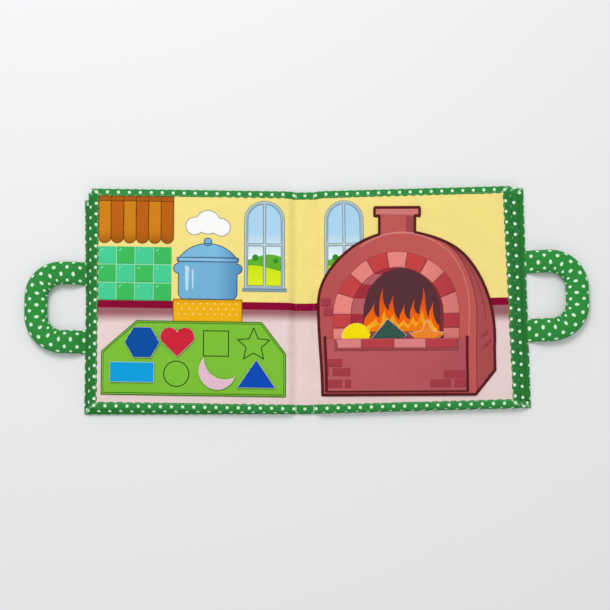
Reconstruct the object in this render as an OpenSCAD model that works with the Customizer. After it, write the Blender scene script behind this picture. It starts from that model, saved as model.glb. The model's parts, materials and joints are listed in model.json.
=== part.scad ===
// Open cloth activity book: three nested padded double panels sewn through twice at the fold.
// Millimetres. Z is up, X runs to the reader's right, Y to the top of the page.
// The origin lies under the middle of the fold, on the surface that the book rests on.

/* [Leaves] */
// Width of the top leaf from the middle of the fold to its outer edge
leaf_w = 212; // [205:1:240]
// Height of a leaf along the fold
leaf_h = 222; // [218:1:260]
// Thickness of one padded leaf
leaf_t = 2.8; // [2.2:0.1:3.2]
// How far each lower leaf reaches out beyond the one above it
leaf_step = 4.5; // [2:0.5:7]
// How far each lower leaf lies towards the foot of the page
leaf_drop = 2.5; // [0:0.5:4]
// Thickness of the printed page cloth
print_t = 0.3; // [0.2:0.05:0.5]

/* [Fold] */
// Distance between the two sewn rows at the fold
seam_gap = 17.7; // [15:0.1:24]
// Thickness of a leaf where it is sewn through
sewn_t = 1.3; // [1:0.1:1.6]
// Width of the slope from a sewn row up to the full leaf
slope_w = 6; // [4:0.5:8]
// Gap between the spine strip and each half
fold_clear = 0.3; // [0.2:0.05:0.6]
// Length of one stitch of the sewn rows
stitch_l = 2.8; // [2:0.1:4]
// Distance from one stitch to the next
stitch_pitch = 4; // [3:0.1:6]
// Thickness of the sewing thread
thread_t = 0.5; // [0.3:0.05:0.8]

/* [Binding tape] */
// Width of the tape that shows on a leaf
tape_w = 7.5; // [5:0.5:10]
// Thickness of the folded tape
tape_t = 0.6; // [0.4:0.05:0.9]

/* [Handles] */
// How far a handle reaches out from the cover
handle_out = 61.5; // [55:0.5:75]
// Height of a handle along the cover's edge
handle_h = 92; // [85:1:110]
// Width of the stuffed band
handle_band = 23; // [18:0.5:26]
// Thickness of the stuffed band
handle_t = 11.5; // [8:0.5:12]
// Radius of the band's outer corners
handle_bend = 38; // [28:1:40]
// Length over which a handle flattens towards the cover
handle_taper = 12; // [6:1:16]
// Height of the left handle's middle from the middle of the book
left_handle_y = -7.5; // [-20:0.5:20]
// Height of the right handle's middle from the middle of the book
right_handle_y = 4; // [-20:0.5:20]

/* [Page print] */
// Height of the wall's lower edge from the middle of the page
wall_foot_y = -2.5; // [-8:0.5:4]
// Height of the dark red band under the wall
band_h = 7.5; // [5:0.5:10]
// Thickness of a printed or sewn-on motif
motif_t = 0.2; // [0.1:0.05:0.3]
// Width of one awning stripe
stripe_w = 12.4; // [10:0.1:13]
// Length of the awning from its top to its scallops
awning_h = 42; // [30:1:44]
// Side of one check tile
tile = 18.4; // [15:0.1:18.6]
// Gap between two check tiles
grout = 1; // [0.5:0.1:2]
// Width of a window
window_w = 40; // [32:1:44]
// Height of a window up to the top of its arch
window_h = 90; // [60:1:94]
// Width of a window's frame
frame_w = 3.5; // [2.5:0.5:5]
// Distance from the middle of the fold to a window
window_x = 20; // [19:1:24]
// Width of the stock pot
pot_w = 58; // [46:1:59]
// Height of the stock pot
pot_h = 42; // [34:1:46]
// Middle of the stock pot, left of the fold
pot_x = 96; // [94:0.5:97]
// How far the cloth under the pot shows on each side of it
cloth_over = 5; // [2:0.5:6]
// Depth of the cloth under the pot down to its scallops
cloth_h = 20; // [14:1:24]

/* [Shape board] */
// Thickness of the board cloth
board_t = 0.9; // [0.6:0.1:1.2]
// Length of the board's lower edge
board_w = 184; // [178:1:188]
// Height of the board at its middle
board_h = 74; // [72:1:80]
// Gap between the board's lower edge and the tape
board_foot = 7; // [5:0.5:8]
// Distance from the middle of the fold to the board
board_x = 19; // [18:0.5:22]
// Thickness of a loose felt shape
felt_t = 1.5; // [1:0.1:2]
// Thickness of a hook patch under a felt shape
hook_t = 0.4; // [0.3:0.1:0.6]
// Diameter of a hook patch
hook_d = 10; // [6:1:12]
// Width of the hexagon from corner to corner
hexagon_w = 35; // [30:1:37]
// Width of the heart
heart_w = 34; // [30:1:36]
// Length of the rectangle
rectangle_w = 44; // [38:1:46]
// Height of the rectangle
rectangle_h = 20; // [16:1:22]
// Diameter of the crescent
crescent_d = 37; // [30:1:38]
// Side of the triangle
triangle_w = 38.5; // [32:0.5:40]
// Side of the square shape
square_w = 25; // [22:1:27]
// Radius of the star shape to its points
star_r = 19; // [17:0.5:20]
// Diameter of the round shape
circle_d = 28; // [24:1:30]
// Width of the printed line round an empty place
outline_w = 1; // [0.6:0.1:1.5]

/* [Oven] */
// Thickness of the oven panel
oven_t = 1; // [0.8:0.1:1.2]
// Width of the oven panel
oven_w = 174; // [168:1:176]
// Height of the oven's straight side
oven_side = 91; // [86:1:94]
// Height of the oven's dome above its sides
dome_h = 71; // [66:1:76]
// Distance from the middle of the fold to the oven
oven_x = 16.5; // [16.5:0.5:20]
// Size of the cut lower corners
oven_cut = 8; // [4:1:12]
// Width of the satin-stitched edge
satin_w = 3; // [2:0.5:4]
// Width of the chimney
chimney_w = 38; // [30:1:44]
// Height of the chimney above the dome
chimney_h = 22; // [14:1:24]
// Overhang of the chimney cap on each side
cap_over = 5; // [3:1:7]
// Height of the chimney cap
cap_h = 10; // [6:1:12]
// Radius of the mouth
mouth_r = 46; // [42:1:48]
// Depth of the brick arch round the mouth
arch_w = 16; // [12:1:18]
// Number of bricks in the arch
arch_bricks = 9; // [7:2:13]
// Gap between two bricks
joint_w = 2; // [1:0.5:3]

/* [Pocket] */
// Width of the pocket front
pocket_w = 141; // [138:1:145]
// Height of the pocket front
pocket_h = 52; // [50:1:56]
// Thickness of the pocket cloth
pocket_t = 0.8; // [0.5:0.1:1]
// Width of the sewn edge of the pocket
pocket_seam = 2.5; // [1.5:0.5:4]
// Play over the felt shapes in the pocket
pocket_play = 0.3; // [0.2:0.1:0.5]
// Gap between two felt shapes in the pocket
pocket_gap = 1; // [0.5:0.5:3]
// Turn of the square in the pocket
square_turn = -40; // [-50:1:-35]
// Length of a printed brick
brick_w = 21; // [18:1:23]
// Height of a printed brick
brick_h = 9; // [7:0.5:10]

/* [Hidden] */

// Counts of leaves that lie below a layer
cover = 0;
middle = 1;
top = 2;
leaves = 3;

// Places along X of the fold
seam_x = seam_gap / 2;
half_x = seam_x + fold_clear;
slope_x = half_x + slope_w;
nose_r = leaf_t / 2;
cover_reach = leaf_w + top * leaf_step;
page_z = leaves * leaf_t;
fold_z = leaves * sewn_t;
sewn_tape_t = tape_t * sewn_t / leaf_t;
mid_y = top * leaf_drop / 2;

// Fields of print inside the top leaf's tape
print_top = leaf_h / 2 + mid_y - tape_w;
print_foot = mid_y - leaf_h / 2 + tape_w;
print_left = leaf_w - tape_w;
wall_foot = mid_y + wall_foot_y;
band_foot = wall_foot - band_h;

// Heights of the sewn-on work
board_z = page_z + board_t;
shape_z = board_z + hook_t;
oven_z = page_z + oven_t;
pocket_shape_z = oven_z + motif_t;
pocket_z = pocket_shape_z + felt_t + pocket_play;

// Places of the board and of the shapes on it
board_y = print_foot + board_foot;
board_mid = board_y + board_h / 2;
upper_row = board_mid + board_h * 0.203;
lower_row = board_mid - board_h * 0.21;
pot_foot = wall_foot + 2;

// Places of the oven
oven_mid = oven_x + oven_w / 2;
front_mid = oven_mid - oven_w * 0.0621;
dome_mid = oven_mid - oven_w * 0.0316;
oven_foot = board_y + 3;
dome_y = oven_foot + oven_side;
dome_drop = (oven_side - 3 * oven_cut) * 0.67;
pocket_y = oven_foot + satin_w;
pocket_top = pocket_y + pocket_h;
arch_y = pocket_top + brick_h + 12.5;
chimney_x = front_mid;
square_x = front_mid - 8;
square_reach = square_w / 2 * (cos(square_turn) - sin(square_turn));

fine = 0.01;
$fn = 48;

function reach_of(n) = leaf_w + (top - n) * leaf_step;
function foot_of(n) = mid_y - leaf_h / 2 - (top - n) * leaf_drop;
function head_of(n) = foot_of(n) + leaf_h;

// Basic forms of the leaves

// One leaf seen along the fold: thin at the sewn row, full from the slope out to a round nose
module leaf_side(n, inset, sewn_inset) {
    nose_x = reach_of(n) - nose_r;
    polygon([
        [half_x, n * sewn_t + sewn_inset],
        [slope_x, n * leaf_t + inset],
        [nose_x, n * leaf_t + inset],
        [nose_x, (n + 1) * leaf_t - inset],
        [slope_x, (n + 1) * leaf_t - inset],
        [half_x, (n + 1) * sewn_t - sewn_inset]
    ]);
    translate([nose_x, n * leaf_t + nose_r])
        circle(r = nose_r - inset);
}

// One leaf seen along X, with round upper and lower edges
module leaf_end(n, inset) {
    z = n * leaf_t + nose_r;
    low = foot_of(n) + nose_r;
    high = head_of(n) - nose_r;
    translate([low, z - nose_r + inset])
        square([high - low, leaf_t - 2 * inset]);
    for (y = [low, high])
        translate([y, z])
            circle(r = nose_r - inset);
}

// The whole padded form of one leaf of the right half, drawn in by inset all round
module leaf_form(n, inset = 0, sewn_inset = 0) {
    intersection() {
        translate([0, head_of(n) + 1, 0])
            rotate([90, 0, 0])
                linear_extrude(leaf_h + 2)
                    leaf_side(n, inset, sewn_inset);
        union() {
            translate([slope_x, 0, 0])
                rotate([90, 0, 90])
                    linear_extrude(reach_of(n) - slope_x)
                        leaf_end(n, inset);
            translate([half_x, foot_of(n) + inset, 0])
                cube([slope_w, leaf_h - 2 * inset, page_z]);
        }
    }
}

// The space inside the tape of a leaf
module leaf_field(n, inner_x) {
    translate([inner_x, foot_of(n) + tape_w, -1])
        cube([reach_of(n) - tape_w - inner_x, leaf_h - 2 * tape_w, page_z + 2]);
}

// One padded leaf: full inside its tape, thinner where the tape folds round it
module leaf(n) {
    intersection() {
        leaf_form(n);
        leaf_field(n, 0);
    }
    leaf_form(n, tape_t, sewn_tape_t);
}

// The tape folded round three edges of a leaf
module leaf_tape(n) {
    difference() {
        leaf_form(n);
        leaf_field(n, 0);
        leaf_form(n, tape_t, sewn_tape_t);
    }
}

// The printed cloth on the top leaf between two heights of the page
module page_cloth(low, high) {
    translate([0, high, 0])
        rotate([90, 0, 0])
            linear_extrude(high - low)
                polygon([
                    [half_x, fold_z - print_t],
                    [slope_x, page_z - print_t],
                    [print_left, page_z - print_t],
                    [print_left, page_z],
                    [slope_x, page_z],
                    [half_x, fold_z]
                ]);
}

// The two leaves above the cover, one solid
module half_pages() {
    leaf(middle);
    difference() {
        leaf(top);
        page_cloth(print_foot, print_top);
    }
}

// The same for the strip between the two sewn rows

module strip_form(n, inset = 0, end_inset = 0) {
    translate([-seam_x, foot_of(n) + end_inset, n * sewn_t + inset])
        cube([seam_gap, leaf_h - 2 * end_inset, sewn_t - 2 * inset]);
}

module strip_leaf(n) {
    intersection() {
        strip_form(n);
        leaf_field(n, -seam_gap);
    }
    strip_form(n, sewn_tape_t, tape_t);
}

module strip_tape(n) {
    difference() {
        strip_form(n);
        leaf_field(n, -seam_gap);
        strip_form(n, sewn_tape_t, tape_t);
    }
}

module strip_cloth(low, high) {
    translate([-seam_x, low, fold_z - print_t])
        cube([seam_gap, high - low, print_t]);
}

module seam_thread(x) {
    count = floor(leaf_h / stitch_pitch);
    for (i = [0 : count - 1])
        translate([x - thread_t / 2, foot_of(top) + (i + 0.5) * stitch_pitch - stitch_l / 2, fold_z])
            cube([thread_t, stitch_l, thread_t / 2]);
}

module left_side() {
    mirror([1, 0, 0])
        children();
}

// A flat motif on the page, the board or the oven
module motif(z, t) {
    translate([0, 0, z])
        linear_extrude(t)
            children();
}

// Handles

module band_section() {
    r = handle_t / 2;
    square([handle_band - handle_t, handle_t], center = true);
    for (s = [-1, 1])
        translate([s * (handle_band / 2 - r), 0])
            circle(r = r);
}

// A straight length of stuffed band along X
module band_length(x0, x1) {
    translate([x0, 0, 0])
        rotate([90, 0, 90])
            linear_extrude(x1 - x0)
                band_section();
}

module band_corner() {
    rotate_extrude(angle = 90)
        translate([handle_bend - handle_band / 2, 0])
            band_section();
}

// The handle flattens to the thickness of the cover where it is sewn in
module handle_taper_form() {
    root = cover_reach - leaf_t;
    translate([0, handle_h, 0])
        rotate([90, 0, 0])
            linear_extrude(2 * handle_h)
                polygon([
                    [root, 0],
                    [cover_reach + handle_out + 1, 0],
                    [cover_reach + handle_out + 1, handle_t + 1],
                    [cover_reach + handle_taper, handle_t + fine],
                    [root, leaf_t]
                ]);
}

module handle(y) {
    bend_x = cover_reach + handle_out - handle_bend;
    bend_y = handle_h / 2 - handle_bend;
    difference() {
        translate([0, y, 0])
            intersection() {
                translate([0, 0, handle_t / 2]) {
                    for (s = [0, 1])
                        mirror([0, s, 0]) {
                            translate([bend_x, bend_y, 0])
                                band_corner();
                            translate([0, handle_h / 2 - handle_band / 2, 0])
                                band_length(cover_reach - nose_r, bend_x);
                        }
                    translate([cover_reach + handle_out - handle_band / 2, 0, 0])
                        rotate([0, 0, 90])
                            band_length(-bend_y, bend_y);
                }
                handle_taper_form();
            }
        leaf_form(cover);
    }
}

// Outlines of the felt shapes

module heart_outline(w) {
    r = w * 0.27;
    x = w / 2 - r;
    foot = w * 0.593;
    lean = atan2(r, sqrt(x * x + foot * foot - r * r)) + atan2(x, foot);
    touch = [x + r * cos(lean), -r * sin(lean)];
    for (s = [-1, 1])
        translate([s * x, 0])
            circle(r = r);
    polygon([[0, r * 0.6], [-x, 0], [-touch[0], touch[1]], [0, -foot - r * 0.1], touch, [x, 0]]);
}

module star_outline(r) {
    polygon([for (i = [0 : 9]) (i % 2 == 0 ? r : r * 0.5) * [sin(36 * i), cos(36 * i)]]);
}

module crescent_outline(d) {
    rotate(59)
        difference() {
            circle(d = d);
            translate([d * 0.378, 0])
                circle(d = d * 1.1);
        }
}

module triangle_outline(w) {
    tall = w * 0.73;
    polygon([[-w / 2, -tall / 2], [w / 2, -tall / 2], [0, tall / 2]]);
}

module frame_line(w) {
    difference() {
        square(w, center = true);
        square(w - 2 * outline_w, center = true);
    }
}

// Places on the board, from the fold outwards
star_at = [-board_x - board_w * 0.174, upper_row];
square_at = [-board_x - board_w * 0.378, upper_row];
heart_at = [-board_x - board_w * 0.587, upper_row + heart_w * 0.062];
hexagon_at = [-board_x - board_w * 0.777, upper_row];
triangle_at = [-board_x - board_w * 0.159, lower_row + 1];
crescent_at = [-board_x - board_w * 0.37, lower_row + 3.3];
circle_at = [-board_x - board_w * 0.592, lower_row];
rectangle_at = [-board_x - board_w * 0.8315, lower_row + 1];

module board_outline() {
    polygon([
        [-board_x, board_y],
        [-board_x, board_y + board_h * 0.58],
        [-board_x - board_w * 0.13, board_y + board_h],
        [-board_x - board_w * 0.81, board_y + board_h],
        [-board_x - board_w, board_y + board_h * 0.58],
        [-board_x - board_w, board_y]
    ]);
}

// Printed scenery of the left page

awning_x = -print_left;
stripes = 6;

module awning(first) {
    motif(page_z, motif_t)
        for (i = [first : 2 : stripes - 1])
            translate([awning_x + i * stripe_w, print_top - awning_h]) {
                square([stripe_w, awning_h]);
                translate([stripe_w / 2, 0])
                    circle(d = stripe_w);
            }
}

module checks(first) {
    side = tile - grout;
    motif(page_z, motif_t)
        for (row = [0 : 2], col = [0 : 3])
            if ((row + col) % 2 == first)
                translate([awning_x + col * tile, wall_foot + row * tile])
                    square(side);
}

module window_outline(inset) {
    r = window_w / 2 - inset;
    foot = print_top - 3 - window_h + inset;
    straight = window_h - window_w / 2 - inset;
    translate([-r, foot])
        square([2 * r, straight]);
    translate([0, foot + straight])
        circle(r = r);
}

module window_bars() {
    foot = print_top - 3 - window_h;
    translate([-frame_w / 4, foot])
        square([frame_w / 2, window_h]);
    translate([-window_w / 2, foot + window_h / 2])
        square([window_w, frame_w / 2]);
}

module window_frame() {
    difference() {
        window_outline(0);
        difference() {
            window_outline(frame_w);
            window_bars();
        }
    }
}

module hills_field() {
    translate([-window_w, -leaf_h])
        square([2 * window_w, leaf_h + print_top - 3 - window_h * 0.62]);
}

module window_glass() {
    difference() {
        window_outline(frame_w);
        window_bars();
    }
}

module at_window(s) {
    translate([s * (window_x + window_w / 2), 0])
        children();
}

module pot_outline() {
    translate([-pot_w / 2, pot_foot + 6])
        square([pot_w, pot_h - 6]);
    translate([-pot_w / 2 + 6, pot_foot])
        square([pot_w - 12, 7]);
    for (s = [-1, 1]) {
        translate([s * (pot_w / 2 - 6), pot_foot + 6])
            circle(r = 6);
        translate([s * pot_w / 2, pot_foot + pot_h - 11])
            circle(r = 5);
    }
}

module lid_outline() {
    translate([0, pot_foot + pot_h])
        intersection() {
            translate([0, -pot_w * 0.35])
                circle(r = pot_w * 0.6);
            translate([-pot_w / 2, 0])
                square([pot_w, pot_w / 2]);
        }
    translate([0, pot_foot + pot_h + pot_w * 0.28])
        circle(d = 8);
}

module steam_outline() {
    y = pot_foot + pot_h + pot_w * 0.556;
    for (p = [[-13, 0, 9], [0, 4, 12], [13, -1, 9]])
        translate([p[0], y + p[1]])
            circle(r = p[2]);
}

module cloth_outline() {
    w = pot_w + 2 * cloth_over;
    translate([-w / 2, pot_foot - cloth_h])
        square([w, cloth_h - fine]);
    for (i = [0 : 3])
        translate([-w / 2 + (i + 0.5) * w / 4, pot_foot - cloth_h])
            circle(d = w / 4);
}

// The stretch of cloth that the board doesn't cover
module cloth_field() {
    difference() {
        cloth_outline();
        translate([pot_x, 0])
            board_outline();
    }
}

// Oven

// The dome bends down to its left side sooner than to its right side, as the printed oven is seen a little from its right
function dome_left(a) = [dome_mid + (dome_mid - oven_x) * cos(a), dome_y + dome_h * sin(a)];
function dome_right(a) = [
    dome_mid + (oven_x + oven_w - dome_mid) * cos(a),
    dome_y - dome_drop + (dome_h + dome_drop) * sin(a)
];

module oven_outline() {
    polygon(concat(
        [
            [oven_x + oven_cut / 4, oven_foot],
            [oven_x + oven_w - oven_cut * 2.5, oven_foot],
            [oven_x + oven_w, oven_foot + oven_cut * 3]
        ],
        [for (a = [0 : 6 : 84]) dome_right(a)],
        [for (a = [90 : 6 : 180]) dome_left(a)]
    ));
    translate([chimney_x - chimney_w / 2, dome_y])
        square([chimney_w, dome_h + chimney_h]);
    translate([chimney_x - chimney_w / 2 - cap_over, dome_y + dome_h + chimney_h - cap_h + 2])
        square([chimney_w + 2 * cap_over, cap_h]);
}

module mouth_outline() {
    polygon(concat(
        [[front_mid - mouth_r, pocket_top], [front_mid + mouth_r, pocket_top]],
        [for (a = [0 : 6 : 180]) [front_mid, arch_y] + mouth_r * [cos(a), sin(a)]]
    ));
}

// A wedge of the brick arch
module arch_brick(i) {
    step = 180 / arch_bricks;
    far = mouth_r + arch_w;
    gap = joint_w / 2;
    translate([front_mid, arch_y])
        rotate(i * step)
            intersection() {
                difference() {
                    circle(r = far);
                    circle(r = mouth_r + gap);
                }
                polygon([
                    [gap, gap],
                    [2 * far, gap],
                    [2 * far * cos(step), 2 * far * sin(step)] + gap * [sin(step), -cos(step)],
                    gap * [1 + sin(step), 0.5]
                ]);
            }
}

module jamb_brick(s) {
    near = front_mid + (s > 0 ? mouth_r + joint_w / 2 : -mouth_r - arch_w);
    translate([near, pocket_top + joint_w / 2])
        square([arch_w - joint_w / 2, arch_y - pocket_top - joint_w]);
}

// Place, width and height of each flame
flames = [[-20, 17, 30], [0, 19, 42], [20, 17, 34]];
flame_foot = 1.5;
core_foot = 3.5;

// A drop-shaped flame with its point up
module flame(x, w, h, foot = flame_foot) {
    r = w / 2;
    lift = h - r;
    lean = asin(r / lift);
    sweep = 180 + 2 * lean;
    translate([front_mid + x, pocket_top + foot + r])
        polygon(concat(
            [[0, lift]],
            [for (i = [0 : 16]) r * [cos(180 - lean + i * sweep / 16), sin(180 - lean + i * sweep / 16)]]
        ));
}

// Pocket

module pocket_outline(inset) {
    translate([front_mid - pocket_w / 2 + inset, pocket_y + inset])
        square([pocket_w - 2 * inset, pocket_h - inset]);
}

module pocket_brick_row(row, first, last) {
    for (i = [first : last])
        translate([front_mid + (i + (row % 2) / 2) * (brick_w + joint_w) - brick_w / 2,
            pocket_top - joint_w - (row + 1) * brick_h - row * joint_w])
            square([brick_w, brick_h]);
}

// Sub-parts on the table at the fold

module cover_spine() {
    color("#26943a")
        strip_leaf(cover);
}

module page_gutter() {
    color("#f2ece0")
        difference() {
            union() {
                strip_leaf(middle);
                strip_leaf(top);
            }
            strip_cloth(print_foot, print_top);
        }
}

module cover_spine_binding() {
    color("#26943a")
        strip_tape(cover);
}

module page_gutter_binding() {
    color("#26943a") {
        strip_tape(middle);
        strip_tape(top);
    }
}

module spine_thread_left() {
    color("#eef0e8")
        seam_thread(-seam_x + thread_t);
}

module spine_thread_right() {
    color("#eef0e8")
        seam_thread(seam_x - thread_t);
}

module gutter_wall_print() {
    color("#f5e28c")
        strip_cloth(wall_foot, print_top);
}

module gutter_band_print() {
    color("#8a0032")
        strip_cloth(band_foot, wall_foot);
}

module gutter_floor_print() {
    color("#e8d2ce")
        strip_cloth(print_foot, band_foot);
}

// Sub-parts of the left half

module left_cover() {
    color("#26943a")
        left_side()
            leaf(cover);
}

module left_cover_binding() {
    color("#26943a")
        left_side()
            leaf_tape(cover);
}

module left_pages() {
    color("#f2ece0")
        left_side()
            half_pages();
}

module left_middle_binding() {
    color("#26943a")
        left_side()
            leaf_tape(middle);
}

module left_top_binding() {
    color("#26943a")
        left_side()
            leaf_tape(top);
}

module left_handle() {
    color("#26943a")
        left_side()
            handle(left_handle_y);
}

module left_wall_print() {
    color("#f5e28c")
        left_side()
            page_cloth(wall_foot, print_top);
}

module left_band_print() {
    color("#8a0032")
        left_side()
            page_cloth(band_foot, wall_foot);
}

module left_floor_print() {
    color("#e8d2ce")
        left_side()
            page_cloth(print_foot, band_foot);
}

module awning_light_stripes() {
    color("#dc8c14")
        awning(0);
}

module awning_dark_stripes() {
    color("#b45a00")
        awning(1);
}

module light_checks() {
    color("#4cd4a4")
        checks(0);
}

module dark_checks() {
    color("#30b848")
        checks(1);
}

module left_window_frame() {
    color("#bcd4dc")
        motif(page_z, motif_t)
            at_window(-1)
                window_frame();
}

module left_window_sky() {
    color("#b0dcf4")
        motif(page_z, motif_t)
            at_window(-1)
                difference() {
                    window_glass();
                    hills_field();
                }
}

module left_window_hills() {
    color("#a8d400")
        motif(page_z, motif_t)
            at_window(-1)
                intersection() {
                    window_glass();
                    hills_field();
                }
}

module pot_print() {
    color("#7cb4e0")
        motif(page_z, motif_t)
            translate([-pot_x, 0])
                pot_outline();
}

module lid_print() {
    color("#f4f4f2")
        motif(page_z, motif_t)
            translate([-pot_x, 0])
                lid_outline();
}

module steam_print() {
    color("#f4f4f2")
        motif(page_z, motif_t)
            translate([-pot_x, 0])
                steam_outline();
}

module cloth_print() {
    color("#ffb400")
        motif(page_z, motif_t)
            translate([-pot_x, 0])
                cloth_field();
}

module shape_board() {
    color("#7ac23a")
        motif(page_z, board_t)
            board_outline();
}

module shape_outlines() {
    color("#5aa028")
        motif(board_z, motif_t) {
            translate(star_at)
                difference() {
                    star_outline(star_r - 2);
                    star_outline(star_r - 2 - 2 * outline_w);
                }
            translate(square_at)
                frame_line(square_w);
            translate(circle_at)
                difference() {
                    circle(d = circle_d - 3);
                    circle(d = circle_d - 3 - 2 * outline_w);
                }
        }
}

module hook_patches() {
    color("#e4e6de")
        motif(board_z, hook_t) {
            for (p = [hexagon_at, heart_at, rectangle_at, triangle_at - [0, hook_d * 0.4]])
                translate(p)
                    circle(d = hook_d);
            translate(crescent_at - hook_d * [0.62, 1.04])
                circle(d = hook_d * 0.8);
        }
}

module hexagon() {
    color("#0048a8")
        motif(shape_z, felt_t)
            translate(hexagon_at)
                circle(d = hexagon_w, $fn = 6);
}

module heart() {
    color("#d2203c")
        motif(shape_z, felt_t)
            translate(heart_at + [0, 4])
                heart_outline(heart_w);
}

module rectangle() {
    color("#00a0dc")
        motif(shape_z, felt_t)
            translate(rectangle_at)
                square([rectangle_w, rectangle_h], center = true);
}

module crescent() {
    color("#e4b4cc")
        motif(shape_z, felt_t)
            translate(crescent_at)
                crescent_outline(crescent_d);
}

module triangle() {
    color("#0048b0")
        motif(shape_z, felt_t)
            translate(triangle_at)
                triangle_outline(triangle_w);
}

// Sub-parts of the right half

module right_cover() {
    color("#26943a")
        leaf(cover);
}

module right_cover_binding() {
    color("#26943a")
        leaf_tape(cover);
}

module right_pages() {
    color("#f2ece0")
        half_pages();
}

module right_middle_binding() {
    color("#26943a")
        leaf_tape(middle);
}

module right_top_binding() {
    color("#26943a")
        leaf_tape(top);
}

module right_handle() {
    color("#26943a")
        handle(right_handle_y);
}

module right_wall_print() {
    color("#f0de7c")
        page_cloth(wall_foot, print_top);
}

module right_band_print() {
    color("#8a0032")
        page_cloth(band_foot, wall_foot);
}

module right_floor_print() {
    color("#e8d2ce")
        page_cloth(print_foot, band_foot);
}

module right_window_frame() {
    color("#bcd4dc")
        motif(page_z, motif_t)
            difference() {
                at_window(1)
                    window_frame();
                oven_outline();
            }
}

module right_window_sky() {
    color("#b0dcf4")
        motif(page_z, motif_t)
            difference() {
                at_window(1)
                    window_glass();
                oven_outline();
            }
}

module oven_panel() {
    color("#c8645c")
        motif(page_z, oven_t)
            oven_outline();
}

// Satin stitching round the oven, on top of the panel's edge
module oven_edge() {
    color("#6a0008")
        motif(oven_z, motif_t)
            difference() {
                oven_outline();
                offset(delta = -satin_w)
                    oven_outline();
            }
}

module oven_mouth() {
    color("#5a2c34")
        motif(oven_z, motif_t)
            difference() {
                mouth_outline();
                for (f = flames)
                    flame(f[0], f[1], f[2]);
            }
}

module arch_light_bricks() {
    color("#ec8c84")
        motif(oven_z, motif_t) {
            for (i = [0 : 2 : arch_bricks - 1])
                arch_brick(i);
        }
}

module arch_dark_bricks() {
    color("#c83838")
        motif(oven_z, motif_t) {
            for (i = [1 : 2 : arch_bricks - 1])
                arch_brick(i);
            for (s = [-1, 1])
                jamb_brick(s);
        }
}

module outer_flames() {
    color("#f06010")
        motif(oven_z, motif_t)
            for (f = flames)
                difference() {
                    flame(f[0], f[1], f[2]);
                    flame(f[0], f[1] * 0.5, f[2] * 0.5, core_foot);
                }
}

module inner_flames() {
    color("#f0a020")
        motif(oven_z, motif_t)
            for (f = flames)
                flame(f[0], f[1] * 0.5, f[2] * 0.5, core_foot);
}

// Open at its upper edge, sewn down on the other three
module pocket_front() {
    color("#bc5860") {
        motif(pocket_z, pocket_t)
            pocket_outline(0);
        motif(oven_z, pocket_z - oven_z)
            difference() {
                pocket_outline(0);
                translate([0, fine])
                    pocket_outline(pocket_seam);
            }
    }
}

module pocket_bricks() {
    color("#a83c40")
        motif(pocket_z + pocket_t, motif_t) {
            pocket_brick_row(0, -2, 2);
            pocket_brick_row(1, -3, -2);
            pocket_brick_row(3, 0, 1);
        }
}

// Shapes in the pocket lie on the printed oven panel
module circle_shape() {
    color("#f6f000")
        motif(pocket_shape_z, felt_t)
            translate([square_x - square_reach - pocket_gap - circle_d / 2, pocket_top + 1.5])
                circle(d = circle_d);
}

module square_shape() {
    color("#235043")
        motif(pocket_shape_z, felt_t)
            translate([square_x, pocket_top + 2])
                rotate(square_turn)
                    square(square_w, center = true);
}

module star_shape() {
    color("#f08020")
        motif(pocket_shape_z, felt_t)
            translate([square_x + square_reach + pocket_gap + star_r, pocket_top])
                star_outline(star_r);
}

cover_spine();
page_gutter();
cover_spine_binding();
page_gutter_binding();
spine_thread_left();
spine_thread_right();
gutter_wall_print();
gutter_band_print();
gutter_floor_print();
left_cover();
left_cover_binding();
left_pages();
left_middle_binding();
left_top_binding();
left_handle();
left_wall_print();
left_band_print();
left_floor_print();
awning_light_stripes();
awning_dark_stripes();
light_checks();
dark_checks();
left_window_frame();
left_window_sky();
left_window_hills();
pot_print();
lid_print();
steam_print();
cloth_print();
shape_board();
shape_outlines();
hook_patches();
hexagon();
heart();
rectangle();
crescent();
triangle();
right_cover();
right_cover_binding();
right_pages();
right_middle_binding();
right_top_binding();
right_handle();
right_wall_print();
right_band_print();
right_floor_print();
right_window_frame();
right_window_sky();
oven_panel();
oven_edge();
oven_mouth();
arch_light_bricks();
arch_dark_bricks();
outer_flames();
inner_flames();
pocket_front();
pocket_bricks();
circle_shape();  // circle
square_shape();  // square
star_shape();  // star
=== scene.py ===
# Open cloth activity book on a pale floor: padded leaves, dotted tape and handles, felt shapes, oven pocket
import json
import math

import bmesh
import bpy
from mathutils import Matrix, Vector, noise

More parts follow.
